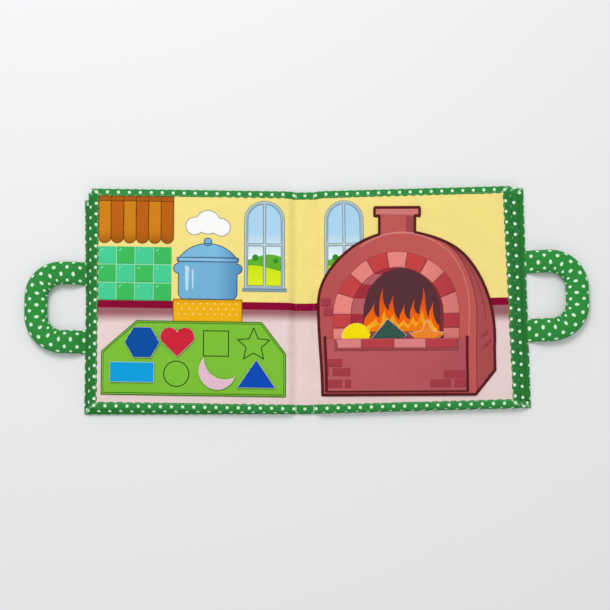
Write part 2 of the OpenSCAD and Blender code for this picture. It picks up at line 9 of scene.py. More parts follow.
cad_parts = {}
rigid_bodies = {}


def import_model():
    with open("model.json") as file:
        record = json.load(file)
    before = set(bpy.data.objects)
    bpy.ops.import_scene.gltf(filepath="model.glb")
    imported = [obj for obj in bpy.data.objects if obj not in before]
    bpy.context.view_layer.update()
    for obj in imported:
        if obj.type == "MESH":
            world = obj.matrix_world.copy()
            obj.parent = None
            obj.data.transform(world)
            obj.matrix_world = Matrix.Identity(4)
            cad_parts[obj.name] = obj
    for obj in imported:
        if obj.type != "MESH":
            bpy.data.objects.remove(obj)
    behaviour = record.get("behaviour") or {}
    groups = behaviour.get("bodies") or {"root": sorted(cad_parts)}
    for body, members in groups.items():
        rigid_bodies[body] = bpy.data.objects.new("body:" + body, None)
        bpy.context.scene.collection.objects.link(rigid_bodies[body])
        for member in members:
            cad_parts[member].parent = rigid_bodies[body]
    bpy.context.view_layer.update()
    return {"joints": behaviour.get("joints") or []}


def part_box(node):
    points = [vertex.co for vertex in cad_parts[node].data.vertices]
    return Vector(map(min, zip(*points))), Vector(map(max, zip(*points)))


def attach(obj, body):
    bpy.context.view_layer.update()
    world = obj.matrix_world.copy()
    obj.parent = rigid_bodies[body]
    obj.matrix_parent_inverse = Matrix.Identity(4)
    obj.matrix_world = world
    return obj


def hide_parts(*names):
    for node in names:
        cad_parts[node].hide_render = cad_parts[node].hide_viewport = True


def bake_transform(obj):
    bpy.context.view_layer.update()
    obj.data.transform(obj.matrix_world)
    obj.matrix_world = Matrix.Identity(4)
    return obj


for leftover in list(bpy.data.objects):
    bpy.data.objects.remove(leftover)

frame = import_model()
mm = 0.001
tau = 2 * math.pi


# Places of the book, from the frame

def low(node):
    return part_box(node)[0]


def high(node):
    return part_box(node)[1]


def size(node):
    return high(node) - low(node)


seamX = abs(frame["joints"][0]["pos_m"][0])
leafT = size("right_cover").z
sewnT = size("cover_spine").z
coverLayer, middleLayer, topLayer, layerCount = 0, 1, 2, 3
bindings = ["right_cover_binding", "right_middle_binding", "right_top_binding"]
reach = [high(node).x for node in bindings]
head = [high(node).y for node in bindings]
foot = [low(node).y for node in bindings]
printEdge = high("right_wall_print").x
printTop = high("right_wall_print").y
printFoot = low("right_floor_print").y
wallFoot = low("right_wall_print").y
bandFoot = low("right_band_print").y
pageZ = high("right_wall_print").z
tapeWidth = reach[topLayer] - printEdge
print("frame read: leaf reach", [round(r, 4) for r in reach], "seam", round(seamX, 4))


def clamp(t, a=0.0, b=1.0):
    return min(max(t, a), b)


def smooth(t):
    t = clamp(t)
    return t * t * (3 - 2 * t)


# How the cloth lies

foldLook = {"rampEnd": 17.5 * mm, "stripRise": 0.45 * mm, "seamDip": 0.45 * mm, "seamWidth": 1.6 * mm}
padLook = {"crown": 0.4 * mm, "edgeDip": 0.3 * mm, "edgeRun": 9 * mm, "swell": 0.3 * mm,
           "swellSize": 55 * mm,
           "inset": 0.8 * mm, "under": 0.45 * mm, "tuck": 0.5 * mm, "tuckWidth": 4.5 * mm,
           "underWave": 0.12 * mm,
           "pucker": 0.13 * mm, "puckerPitch": 8.7 * mm, "puckerRun": 7 * mm,
           "foldPull": 0.28 * mm, "foldPitch": 12.5 * mm, "foldRun": 13 * mm}
leanLook = {"leftRise": 0.0155, "leftOut": 0.0095, "leftFan": 0.0157, "leftLean": 0.06, "leftLeanLow": 0.09,
            "rightRise": 0.028, "rightOut": 0.004, "rightFan": 0.0185, "rightLean": 0.041,
            "rightLeanFan": 0.081,
            "layerUp": 1.9 * mm, "cornerDown": 6 * mm, "cornerX": 165 * mm, "cornerY": 62 * mm}


def ramp(x):
    return smooth((abs(x) - seamX) / (foldLook["rampEnd"] - seamX))


def layerTop(count, x):
    return count * (sewnT + (leafT - sewnT) * ramp(x))


# Height of the printed page, with its valley, crown, puckers and pulls at the fold
def pageTop(x, y):
    ax = abs(x)
    z = layerTop(layerCount, x)
    z -= foldLook["seamDip"] * math.exp(-((ax - seamX) / foldLook["seamWidth"]) ** 2)
    if ax < seamX:
        z += foldLook["stripRise"] * (1 - (ax / seamX) ** 2)
    side, top, bottom = printEdge - ax, printTop - y, y - printFoot
    inner = smooth(min(side, top, bottom) / padLook["edgeRun"])
    z += (padLook["crown"] + padLook["edgeDip"]) * inner * ramp(x) - padLook["edgeDip"]
    run, pitch = padLook["puckerRun"], tau / padLook["puckerPitch"]
    z += padLook["pucker"] * math.exp(-max(side, 0) / run) * math.sin(y * pitch)
    z += padLook["pucker"] * math.exp(-max(top, 0) / run) * math.sin(x * pitch * 1.07)
    z += padLook["pucker"] * math.exp(-max(bottom, 0) / run) * math.sin(x * pitch * 0.93 + 1)
    pull = math.exp(-max(ax - seamX, 0) / padLook["foldRun"]) * smooth((ax - seamX) / (3 * mm))
    bend = 2.2 * noise.noise(Vector((x / 0.02, y / 0.04, 3)))
    z += padLook["foldPull"] * pull * math.sin(y * tau / padLook["foldPitch"] + bend)
    swell = noise.noise(Vector((x, y, 0)) / padLook["swellSize"])
    return z + padLook["swell"] * swell * inner * ramp(x)


# The halves lie a little askew and the leaves fan out a little, as cloth pulled at its fold does
def lay(co):
    ax, look = abs(co.x), leanLook
    upper = clamp(co.z / pageZ) * (1 - smooth((ax - reach[topLayer]) / (9 * mm)))
    if co.x < 0:
        x = co.x + ax * (look["leftOut"] - look["leftFan"] * upper - look["leftLean"] * co.y)
        x -= ax * look["leftLeanLow"] * (1 - upper) * max(co.y, 0)
        return Vector((x, co.y + look["leftRise"] * ax, co.z))
    x = co.x + ax * (look["rightOut"] - look["rightFan"] * upper)
    x -= ax * co.y * (look["rightLean"] + look["rightLeanFan"] * upper)
    return Vector((x, co.y + look["rightRise"] * ax, co.z))


# The lower leaves are drawn up under the top one, on the left only towards the fold, and the left cover's
# upper corner hangs down a little
def layerUp(layer, x, y, s):
    share = 1 if s > 0 else 1 - clamp(abs(x) / reach[topLayer])
    up = (topLayer - layer) * leanLook["layerUp"] * share
    if s < 0 and layer == coverLayer:
        atCorner = smooth((y - leanLook["cornerY"]) / (45 * mm))
        up -= leanLook["cornerDown"] * atCorner * smooth((abs(x) - leanLook["cornerX"]) / (60 * mm))
    return up


# Small tools for meshes

# Adds a grid whose points go to place(u, v), with a UV map of real lengths
def addGrid(bm, nu, nv, place, uvPlace=None, closed=False):
    uvLayer = bm.loops.layers.uv.get("UVMap") or bm.loops.layers.uv.new("UVMap")
    verts = bmesh.ops.create_grid(bm, x_segments=nu, y_segments=nv, size=0.5)["verts"]
    for face in {f for v in verts for f in v.link_faces}:
        for loop in face.loops:
            u, v = loop.vert.co.x + 0.5, loop.vert.co.y + 0.5
            loop[uvLayer].uv = uvPlace(u, v) if uvPlace else (u, v)
    for vert in verts:
        vert.co = place(vert.co.x + 0.5, vert.co.y + 0.5)
    if closed:
        bmesh.ops.remove_doubles(bm, verts=verts, dist=0.00001)
        bmesh.ops.holes_fill(bm, edges=[e for e in bm.edges if e.is_boundary])
        bmesh.ops.recalc_face_normals(bm, faces=bm.faces)
    return verts


# A flat patch inside closed rings of points, cut up small enough to follow the page
def cutPatch(rings, step=2 * mm):
    bm = bmesh.new()
    edges = []
    for ring in rings:
        verts = [bm.verts.new((p[0], p[1], 0)) for p in ring]
        edges += [bm.edges.new((verts[i - 1], verts[i])) for i in range(len(verts))]
    bmesh.ops.triangle_fill(bm, edges=edges, use_beauty=True)
    xs, ys = [v.co.x for v in bm.verts], [v.co.y for v in bm.verts]
    for values, normal in ((xs, Vector((1, 0, 0))), (ys, Vector((0, 1, 0)))):
        for i in range(math.ceil(min(values) / step), math.floor(max(values) / step) + 1):
            geom = bm.verts[:] + bm.edges[:] + bm.faces[:]
            bmesh.ops.bisect_plane(bm, geom=geom, dist=1e-6, plane_co=normal * i * step, plane_no=normal)
    bmesh.ops.remove_doubles(bm, verts=bm.verts, dist=0.00001)
    return bm


# Lifts a flat patch so that its top lies at topAt(x, y), and gives it a real thickness below. Its side walls
# take the piece's second material, where it has one
def raisePatch(bm, topAt, thickness, edgeRound=0.0, rimMaterial=-1):
    made = bmesh.ops.extrude_face_region(bm, geom=bm.faces[:])["geom"]
    upperVerts = {v for v in made if isinstance(v, bmesh.types.BMVert)}
    for vert in bm.verts:
        z = topAt(vert.co.x, vert.co.y)
        vert.co.z = z if vert in upperVerts else z - thickness
    walls = [f for f in bm.faces if 0 < sum(v in upperVerts for v in f.verts) < len(f.verts)]
    for face in walls:
        face.material_index = 1
    bmesh.ops.recalc_face_normals(bm, faces=bm.faces)
    if edgeRound:
        rim = {e for f in walls for e in f.edges if all(v in upperVerts for v in e.verts)}
        bmesh.ops.bevel(bm, geom=list(rim), offset=edgeRound, segments=2, affect="EDGES", profile=0.5,
                        material=rimMaterial)


def rectangle(x0, y0, x1, y1):
    return [(x0, y0), (x1, y0), (x1, y1), (x0, y1)]


def arc(cx, cy, r, a0, a1, count=16):
    turn = [math.radians(a0 + (a1 - a0) * i / count) for i in range(count + 1)]
    return [(cx + r * math.cos(a), cy + r * math.sin(a)) for a in turn]


def circleRing(cx, cy, r, count=40):
    return arc(cx, cy, r, 0, 360, count)[:-1]


# Points at even distances along a closed ring
def resample(ring, step):
    points = [Vector((p[0], p[1])) for p in ring]
    lengths = [(points[i] - points[i - 1]).length for i in range(len(points))]
    total = sum(lengths)
    count = max(3, round(total / step))
    out, i, passed = [], 0, 0.0
    for k in range(count):
        want = k * total / count
        while passed + lengths[i] < want:
            passed += lengths[i]
            i += 1
        t = (want - passed) / lengths[i]
        out.append(points[i - 1].lerp(points[i], t))
    return out


# A closed ring drawn in by a distance, towards its inside
def insetRing(ring, distance):
    points = [Vector((p[0], p[1])) for p in ring]
    area = sum(points[i - 1].cross(points[i]) for i in range(len(points)))
    turn = 1 if area > 0 else -1
    out = []
    for i, point in enumerate(points):
        before = (point - points[i - 1]).normalized()
        after = (points[(i + 1) % len(points)] - point).normalized()
        n0, n1 = Vector((-before.y, before.x)), Vector((-after.y, after.x))
        mid = (n0 + n1).normalized()
        out.append(point + mid * turn * distance / max(mid.dot(n0), 0.4))
    return [tuple(p) for p in out]


# Makes a mesh an object that rides its body; given blendTo, it is left without a parent, with its transform
# baked into the mesh
def finishPiece(bm, name, materials, body, nodes=(), blendTo=None, lie=None, sharp=None):
    for vert in bm.verts:
        vert.co = lay(lie(vert.co) if lie else vert.co)
    mesh = bpy.data.meshes.new(name)
    bm.to_mesh(mesh)
    bm.free()
    for material in materials:
        mesh.materials.append(material)
    for polygon in mesh.polygons:
        polygon.use_smooth = True
        polygon.material_index = min(polygon.material_index, len(materials) - 1)
    if sharp:
        mesh.set_sharp_from_angle(angle=math.radians(sharp))
    piece = bpy.data.objects.new(name, mesh)
    bpy.context.scene.collection.objects.link(piece)
    if blendTo:
        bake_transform(piece)
    else:
        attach(piece, body)
    if nodes:
        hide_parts(*nodes)
    return piece


# Materials

# A Blender colour from an sRGB hex value
def linear(code):
    values = [int(code[i:i + 2], 16) / 255 for i in (1, 3, 5)]
    return [v / 12.92 if v <= 0.04045 else ((v + 0.055) / 1.055) ** 2.4 for v in values] + [1.0]


# Adds a node with its settings and its input values or links, and returns its outputs
def addNode(tree, kind, inputs=(), **settings):
    node = tree.nodes.new("ShaderNode" + kind)
    for key, value in settings.items():
        setattr(node, key, value)
    for key, value in dict(inputs).items():
        socket = node.inputs[key]
        if isinstance(value, bpy.types.NodeSocket):
            tree.links.new(value, socket)
        else:
            socket.default_value = value[:3] if socket.type == "VECTOR" else value
    return node.outputs


clothLook = {"blotch": 22 * mm, "speck": 1.4 * mm, "fold": 6.3 * mm, "relief": 0.2 * mm, "specular": 0.1,
             "dot": "#ddf8dc"}


# Woven cotton is matt: the eye gets its threads, small creases, and a dye that took a little unevenly
def clothMaterial(name, colour, thread=1.1, weave=0.25, mottle=0.06, grain=0.05, roughness=0.9, sheen=0.03,
                  paint=None, crease=0.2):
    material = bpy.data.materials.new(name)
    material.use_nodes = True
    tree = material.node_tree
    shader = tree.nodes["Principled BSDF"]
    place = addNode(tree, "TexCoord")["Object"]
    base = paint(tree, place, linear(colour)) if paint else linear(colour)
    blotch = addNode(tree, "TexNoise", {"Vector": place, "Scale": 1 / clothLook["blotch"],
                                        "Detail": 3.0})[0]
    speck = addNode(tree, "TexNoise", {"Vector": place, "Scale": 1 / clothLook["speck"], "Detail": 2.0})[0]
    tone = addNode(tree, "Math", {0: blotch, 1: 2 * mottle, 2: 1 - mottle - grain},
                   operation="MULTIPLY_ADD")[0]
    tone = addNode(tree, "Math", {0: speck, 1: 2 * grain, 2: tone}, operation="MULTIPLY_ADD")[0]
    toned = addNode(tree, "VectorMath", {0: base, 1: tone}, operation="MULTIPLY")[0]
    tree.links.new(toned, shader.inputs["Base Color"])
    # Real threads are 0.3 mm apart, and are drawn coarser so that they show
    wave = addNode(tree, "VectorMath", {0: place, "Scale": tau / (thread * mm)}, operation="SCALE")[0]
    axes = addNode(tree, "SeparateXYZ", {0: addNode(tree, "VectorMath", {0: wave}, operation="SINE")[0]})
    threads = addNode(tree, "Math", {0: axes[0], 1: axes[1]}, operation="MULTIPLY")[0]
    folds = addNode(tree, "TexNoise", {"Vector": place, "Scale": 1 / clothLook["fold"], "Detail": 2.0})[0]
    relief = addNode(tree, "Math", {0: folds, 1: crease * 4}, operation="MULTIPLY")[0]
    relief = addNode(tree, "Math", {0: threads, 1: weave, 2: relief}, operation="MULTIPLY_ADD")[0]
    bump = addNode(tree, "Bump", {"Strength": 0.5, "Distance": clothLook["relief"], "Height": relief})[0]
    tree.links.new(bump, shader.inputs["Normal"])
    shader.inputs["Roughness"].default_value = roughness
    shader.inputs["Sheen Weight"].default_value = sheen
    shader.inputs["Sheen Roughness"].default_value = 0.5
    shader.inputs["Specular IOR Level"].default_value = clothLook["specular"]
    return material


# Pea dots printed on a staggered lattice, in millimetres of the piece's own UV map
def dotsOf(pitchU, pitchV, startV, dot=3.0, edge=0.35):
    def paint(tree, place, ground):
        uv = addNode(tree, "UVMap", uv_map="UVMap")[0]
        distances = []
        for shift in (0.5, 1.0):
            lattice = {0: uv, 1: (1000 / pitchU, 1000 / pitchV, 0), 2: (shift, shift - startV / pitchV, 0)}
            cell = addNode(tree, "VectorMath", lattice, operation="MULTIPLY_ADD")[0]
            cell = addNode(tree, "VectorMath", {0: cell}, operation="FRACTION")[0]
            fromDot = {0: cell, 1: (pitchU, pitchV, 0), 2: (-pitchU / 2, -pitchV / 2, 0)}
            fromDot = addNode(tree, "VectorMath", fromDot, operation="MULTIPLY_ADD")[0]
            distances.append(addNode(tree, "VectorMath", {0: fromDot}, operation="LENGTH")["Value"])
        toDot = addNode(tree, "Math", {0: distances[0], 1: distances[1]}, operation="MINIMUM")[0]
        inDot = addNode(tree, "MapRange", {0: toDot, 1: dot / 2 + edge, 2: dot / 2 - edge, 3: 0.0, 4: 1.0},
                        interpolation_type="SMOOTHSTEP")[0]
        return addNode(tree, "Mix", {0: inDot, 6: ground, 7: linear(clothLook["dot"])}, data_type="RGBA")[2]
    return paint


# Printed shade that grows between two places along an axis of the book
def fadeBetween(axis, start, end, colour, most=0.8):
    def paint(tree, place, ground):
        value = addNode(tree, "SeparateXYZ", {0: place})[axis]
        fade = addNode(tree, "MapRange", {0: value, 1: start, 2: end, 3: 0.0, 4: most},
                       interpolation_type="SMOOTHSTEP")[0]
        return addNode(tree, "Mix", {0: fade, 6: ground, 7: linear(colour)}, data_type="RGBA")[2]
    return paint


# Pressed felt is short matted fibre: the eye gets specks and a soft nap, and no threads
def feltMaterial(name, colour):
    return clothMaterial(name, colour, weave=0.0, mottle=0.05, grain=0.12, roughness=0.95, sheen=0.05,
                         crease=0.35)


# Twisted cotton lies side by side across the line that it covers, a little glossier than cloth
def threadMaterial(name, colour, pitch=0.9):
    material = bpy.data.materials.new(name)
    material.use_nodes = True
    tree = material.node_tree
    shader = tree.nodes["Principled BSDF"]
    u = addNode(tree, "SeparateXYZ", {0: addNode(tree, "UVMap", uv_map="UVMap")[0]})[0]
    turn = addNode(tree, "Math", {0: u, 1: tau / (pitch * mm)}, operation="MULTIPLY")[0]
    wave = addNode(tree, "Math", {0: turn}, operation="SINE")[0]
    # The colour follows the ridges of the bump, lighter on the crests and darker in the grooves: a painted
    # shade
    tone = addNode(tree, "Math", {0: wave, 1: 0.14, 2: 0.95}, operation="MULTIPLY_ADD")[0]
    toned = addNode(tree, "VectorMath", {0: linear(colour), 1: tone}, operation="MULTIPLY")[0]
    tree.links.new(toned, shader.inputs["Base Color"])
    bump = addNode(tree, "Bump", {"Strength": 0.6, "Distance": 0.15 * mm, "Height": wave})[0]
    tree.links.new(bump, shader.inputs["Normal"])
    shader.inputs["Roughness"].default_value = 0.6
    shader.inputs["Specular IOR Level"].default_value = 0.2
    return material


# Cotton with a flat pigment print: the weave shows less, and the colour is more even
def printCotton(name, colour, paint=None):
    return clothMaterial(name + " printed cotton", colour, weave=0.2, mottle=0.035, grain=0.03, paint=paint)


# Dyed and dotted quilting cotton: matt greens. The outer tapes get a darker green as painted shade, because
# they turn from the light
tapeCotton = clothMaterial("pea dot cotton tape", "#2f8b3e", paint=dotsOf(10.9, 13.0, 4.4), crease=0.3)
sideTapeShadeCotton = clothMaterial("pea dot cotton side tape with painted shade", "#297a36", paint=dotsOf(10.9, 13.0, 4.4),
                               crease=0.3)
handleCotton = clothMaterial("pea dot cotton handle", "#2f8d3d", paint=dotsOf(12.1, 10.4, 0.0), crease=0.4)
coverCotton = clothMaterial("plain green cotton", "#2a843a", crease=0.3)
# Lining in its natural colour, which only shows as a thin line between the leaves
pageCotton = clothMaterial("unbleached lining cotton", "#f2ece0")
# Spun cotton thread: small twisted ridges that catch the light
spineThread = threadMaterial("cream cotton thread", "#cdbfa0")
whiteThread = threadMaterial("white cotton thread", "#e6f4e4")
paleThread = threadMaterial("pale green thread", "#86c890")
# Quilting cotton printed over its whole width: even colour over a weave that shows, and a shade in the floor
wallCotton = clothMaterial("yellow printed cotton", "#f3df86")
bandCotton = clothMaterial("wine printed cotton", "#8a0032")
floorShade = fadeBetween(1, bandFoot - 14 * mm, bandFoot - 1 * mm, "#945059", 0.92)
floorCotton = clothMaterial("rose printed cotton", "#e9d2cf", paint=floorShade)
# Cut felt shows the paler middle of its fibres
feltEdge = feltMaterial("pale cut felt edge", "#e6e6e2")


# Camera, light and floor

viewLook = {"distance": 1.2, "elevation": 81.8, "aim": (0.0001, -0.0008, 0.0), "field": 0.61}


def makeView():
    aim = Vector(viewLook["aim"])
    tilt = math.radians(viewLook["elevation"])
    eye = aim + viewLook["distance"] * Vector((0, -math.cos(tilt), math.sin(tilt)))
    data = bpy.data.cameras.new("camera")
    data.sensor_width = 36
    data.lens = 36 * viewLook["distance"] / viewLook["field"]
    camera = bpy.data.objects.new("camera", data)
    camera.location = eye
    camera.rotation_euler = (aim - eye).to_track_quat("-Z", "Y").to_euler()
    bpy.context.scene.collection.objects.link(camera)
    bpy.context.scene.camera = camera


lampLook = {"world": 0.66, "key": 13.5, "keyAt": (-0.35, 0.95, 1.45), "keySize": 0.8}


def makeLight():
    world = bpy.data.worlds.new("studio")
    world.use_nodes = True
    world.node_tree.nodes["Background"].inputs[0].default_value = (1, 1, 1, 1)
    world.node_tree.nodes["Background"].inputs[1].default_value = lampLook["world"]
    bpy.context.scene.world = world
    data = bpy.data.lights.new("soft box", "AREA")
    data.shape = "DISK"
    data.size = lampLook["keySize"]
    data.energy = lampLook["key"]
    lamp = bpy.data.objects.new("soft box", data)
    lamp.location = lampLook["keyAt"]
    lamp.rotation_euler = (-Vector(lampLook["keyAt"])).to_track_quat("-Z", "Y").to_euler()
    bpy.context.scene.collection.objects.link(lamp)


floorLook = {"colour": "#ebebed", "wide": 12, "below": 0.2 * mm}


# A sheet of pale studio paper: flat, matt and without a pattern
def makeFloor():
    bm = bmesh.new()
    wide = floorLook["wide"]
    addGrid(bm, 1, 1, lambda u, v: Vector((u * wide - wide / 2, v * wide - wide / 2, -floorLook["below"])))
    mesh = bpy.data.meshes.new("floor")
    bm.to_mesh(mesh)
    bm.free()
    material = bpy.data.materials.new("pale studio paper")
    material.use_nodes = True
    shader = material.node_tree.nodes["Principled BSDF"]
    shader.inputs["Base Color"].default_value = linear(floorLook["colour"])
    shader.inputs["Roughness"].default_value = 0.9
    mesh.materials.append(material)
    floor = bpy.data.objects.new("floor", mesh)
    bpy.context.scene.collection.objects.link(floor)


makeView()
makeLight()
makeFloor()
bpy.context.scene.view_settings.view_transform = "Standard"
print("view, light and floor made")


# Padded leaves and the tape round them

tapeLook = {"fold": 0.6 * mm, "swell": 0.18, "step": 2.0 * mm, "overlap": 0.07, "wander": 0.35 * mm,
            "wave": 0.22 * mm, "wavePitch": 8.7 * mm, "drawnOut": 1.3,
            "startOfDots": [6.1 * mm, 3.3 * mm, 0.0],
            "turnOfDots": {"head": [5.2 * mm, 2.9 * mm, 0.0], "foot": [5.2 * mm, 2.9 * mm, 0.0],
                           "outer": [3.9 * mm, 0.0, -1.3 * mm]}}
sides = {"left": -1, "right": 1}
layerNames = ["cover", "middle", "top"]


# Height at h, from -1 at a leaf's lower face to 1 at its upper face
def leafZ(layer, x, h):
    lowZ, highZ = layerTop(layer, x), layerTop(layer + 1, x)
    return (lowZ + highZ) / 2 + h * (highZ - lowZ) / 2


def makePad(side, layer, nodes, material):
    s = sides[side]
    inner = padLook["inset"]
    span = reach[layer] - inner
    bottom, top = foot[layer] + inner, head[layer] - inner
    bm = bmesh.new()
    addGrid(bm, 60, 56, lambda u, v: Vector((s * u * span, bottom + v * (top - bottom), 0)))
    made = bmesh.ops.extrude_face_region(bm, geom=bm.faces[:])["geom"]
    upper = {v for v in made if isinstance(v, bmesh.types.BMVert)}
    for vert in bm.verts:
        x, y = vert.co.x, vert.co.y
        edge = min(span - abs(x), y - bottom, top - y)
        rim = 0.5 + 0.42 * smooth(edge / (tapeWidth * 1.1))
        vert.co.z = leafZ(layer, x, rim if vert in upper else -rim)
        vert.co.y += layerUp(layer, x, y, s)
        if layer == topLayer and vert in upper:
            tuck = padLook["tuck"] * math.exp(-((abs(x) - seamX) / padLook["tuckWidth"]) ** 2)
            vert.co.z = min(vert.co.z, pageTop(x, y) - padLook["under"] - tuck)
        if layer == coverLayer and vert not in upper:
            waves = padLook["underWave"] * (1 + noise.noise(Vector((x, y, 7)) / 0.03))
            vert.co.z = max(vert.co.z, 0.02 * mm) + waves * ramp(x)
    bmesh.ops.recalc_face_normals(bm, faces=bm.faces)
    name = f"{side}_{layerNames[layer]}_pad"
    piece = finishPiece(bm, name, [material], side + "_half", nodes, blendTo="spine")


# Half widths of a folded tape: pairs of distance from the leaf's nose and height, outer face then inner face
def tapeSection(count=7):
    nose = leafT / 2
    straight = tapeWidth - nose

    def face(grow, shrink):
        points = []
        for i in range(count + 1):
            t = 1 - i / count
            height = 1 + tapeLook["swell"] * math.sin(math.pi * t) - 0.2 * t * t
            points.append((nose + t * straight, height * grow))
        for i in range(1, 8):
            a = math.pi / 2 - math.pi * i / 8
            points.append((nose - (nose - shrink) * math.cos(a), math.sin(a) * grow))
        return points + [(d, -h) for d, h in reversed(points[:count + 1])]

    outer = face(1.0, 0.0)
    inside = face(1 - tapeLook["fold"] / nose, tapeLook["fold"])
    return outer + inside[::-1]


section = tapeSection()


def sectionAt(v):
    t = clamp(v) * len(section)
    i = int(t) % len(section)
    a, b = section[i], section[(i + 1) % len(section)]
    f = t - int(t)
    return a[0] + (b[0] - a[0]) * f, a[1] + (b[1] - a[1]) * f


# Distance along the tape's outer face from its nose, in metres
def sectionLength(v):
    d, h = sectionAt(v)
    return math.copysign(d + 0.8 * mm, h) if abs(h) > 0.99 or d > leafT / 2 else h * leafT / 2 * 1.4


# One straight length of tape along an edge of a leaf
def addStrip(bm, side, layer, edge, start, end):
    s = sides[side]
    along = max(2, round((end - start) / tapeLook["step"]))
    seed = layer * 7 + s * 3 + len(edge)

    def place(u, v):
        w = start + u * (end - start)
        d, h = sectionAt(v)
        wander = tapeLook["wander"] * noise.noise(Vector((w / 0.022, seed, 0)))
        drift = 2 * noise.noise(Vector((w / 0.03, seed, 5)))
        wave = math.sin(w * tau / tapeLook["wavePitch"] + seed + drift)
        d += wander * smooth(d / tapeWidth) + tapeLook["wave"] * wave * (1 - smooth(d / tapeWidth))
        h *= 1 + 0.1 * wave * smooth((d - leafT / 2) / tapeWidth * 2)
        if edge == "outer":
            x, y = s * (reach[layer] - d), w
            h *= 0.97
        else:
            tip = clamp((w - (reach[layer] - leafT / 2)) / (leafT / 2))
            over = tapeLook["overlap"] * smooth((w - reach[layer] + 10 * mm) / (2 * mm))
            h *= math.sqrt(max(1 - tip * tip, 0.02)) * (1 + over)
            y = head[layer] - d if edge == "head" else foot[layer] + d
            x = s * w
        z = leafZ(layer, x, h)
        if layer == topLayer and h > 0 and abs(x) < foldLook["rampEnd"]:
            z += (pageTop(x, 0) - layerTop(layerCount, x) + padLook["edgeDip"]) * h
        return Vector((x, y + layerUp(layer, x, y, s), max(z, 0.03 * mm)))

    shift, turn = tapeLook["startOfDots"][layer], tapeLook["turnOfDots"][edge][layer]
    # The middle leaf's outer tape is drawn out where the leaves fan, so its dots are printed narrower
    narrow = tapeLook["drawnOut"] if edge == "outer" and layer == middleLayer else 1.0
    addGrid(bm, along, len(section), place,
            lambda u, v: (shift + start + u * (end - start), turn + narrow * sectionLength(v)), closed=True)


def makeTape(side, layer, nodes):
    bm = bmesh.new()
    inset = tapeWidth - 0.6 * mm
    addStrip(bm, side, layer, "outer", foot[layer] + inset, head[layer] - inset)
    # The outer length takes the second material, the darker green of painted shade
    for face in bm.faces:
        face.material_index = 1
    addStrip(bm, side, layer, "head", 0.0, reach[layer])
    addStrip(bm, side, layer, "foot", 0.0, reach[layer])
    name = f"{side}_{layerNames[layer]}_tape"
    finishPiece(bm, name, [tapeCotton, sideTapeShadeCotton], side + "_half", nodes,
                blendTo="spine")


for side in sides:
    makePad(side, coverLayer, [side + "_cover", "cover_spine"], coverCotton)
    makePad(side, middleLayer, [side + "_pages", "page_gutter"], pageCotton)
    makePad(side, topLayer, [side + "_pages", "page_gutter"], pageCotton)
    makeTape(side, coverLayer, [side + "_cover_binding", "cover_spine_binding"])
    makeTape(side, middleLayer, [side + "_middle_binding", "page_gutter_binding"])
    makeTape(side, topLayer, [side + "_top_binding", "page_gutter_binding"])
print("leaves and tape made")


# Printed cloth of the pages

clothSheet = {"tuck": 0.6 * mm, "step": 1.8 * mm, "thick": 0.3 * mm, "sharp": 50}


def makeCloth(side, name, bottom, top, material, nodes):
    s = sides[side]
    tuck, step = clothSheet["tuck"], clothSheet["step"]
    width = printEdge + tuck
    y0 = bottom - (tuck if bottom == printFoot else 0)
    y1 = top + (tuck if top == printTop else 0)
    bm = bmesh.new()
    addGrid(bm, round(width / step), max(3, round((y1 - y0) / step)),
            lambda u, v: Vector((s * u * width, y0 + v * (y1 - y0), 0)))
    bmesh.ops.recalc_face_normals(bm, faces=bm.faces)
    raisePatch(bm, pageTop, clothSheet["thick"])
    return finishPiece(bm, name, [material], side + "_half", nodes, blendTo="spine",
                       sharp=clothSheet["sharp"])


for side in sides:
    wall = makeCloth(side, side + "_wall_cloth", wallFoot, printTop, wallCotton,
                     [side + "_wall_print", "gutter_wall_print"])
    band = makeCloth(side, side + "_band_cloth", bandFoot, wallFoot, bandCotton,
                     [side + "_band_print", "gutter_band_print"])
    floor = makeCloth(side, side + "_floor_cloth", printFoot, bandFoot, floorCotton,
                      [side + "_floor_print", "gutter_floor_print"])
print("page cloth made")


# Handles

handleLook = {"band": 23 * mm, "round": 2.3, "taper": 15 * mm, "steps": 110, "around": 36, "bend": 38 * mm,
              "shorter": 0.6 * mm, "down": {"left": 0, "right": 2.5 * mm}, "bulge": 0.25 * mm,
              "pucker": 0.35 * mm, "puckerPitch": 5.5 * mm, "gather": 0.35 * mm, "gathers": 9,
              "turnIn": 6 * mm,
              "rootIn": 1.2 * mm}


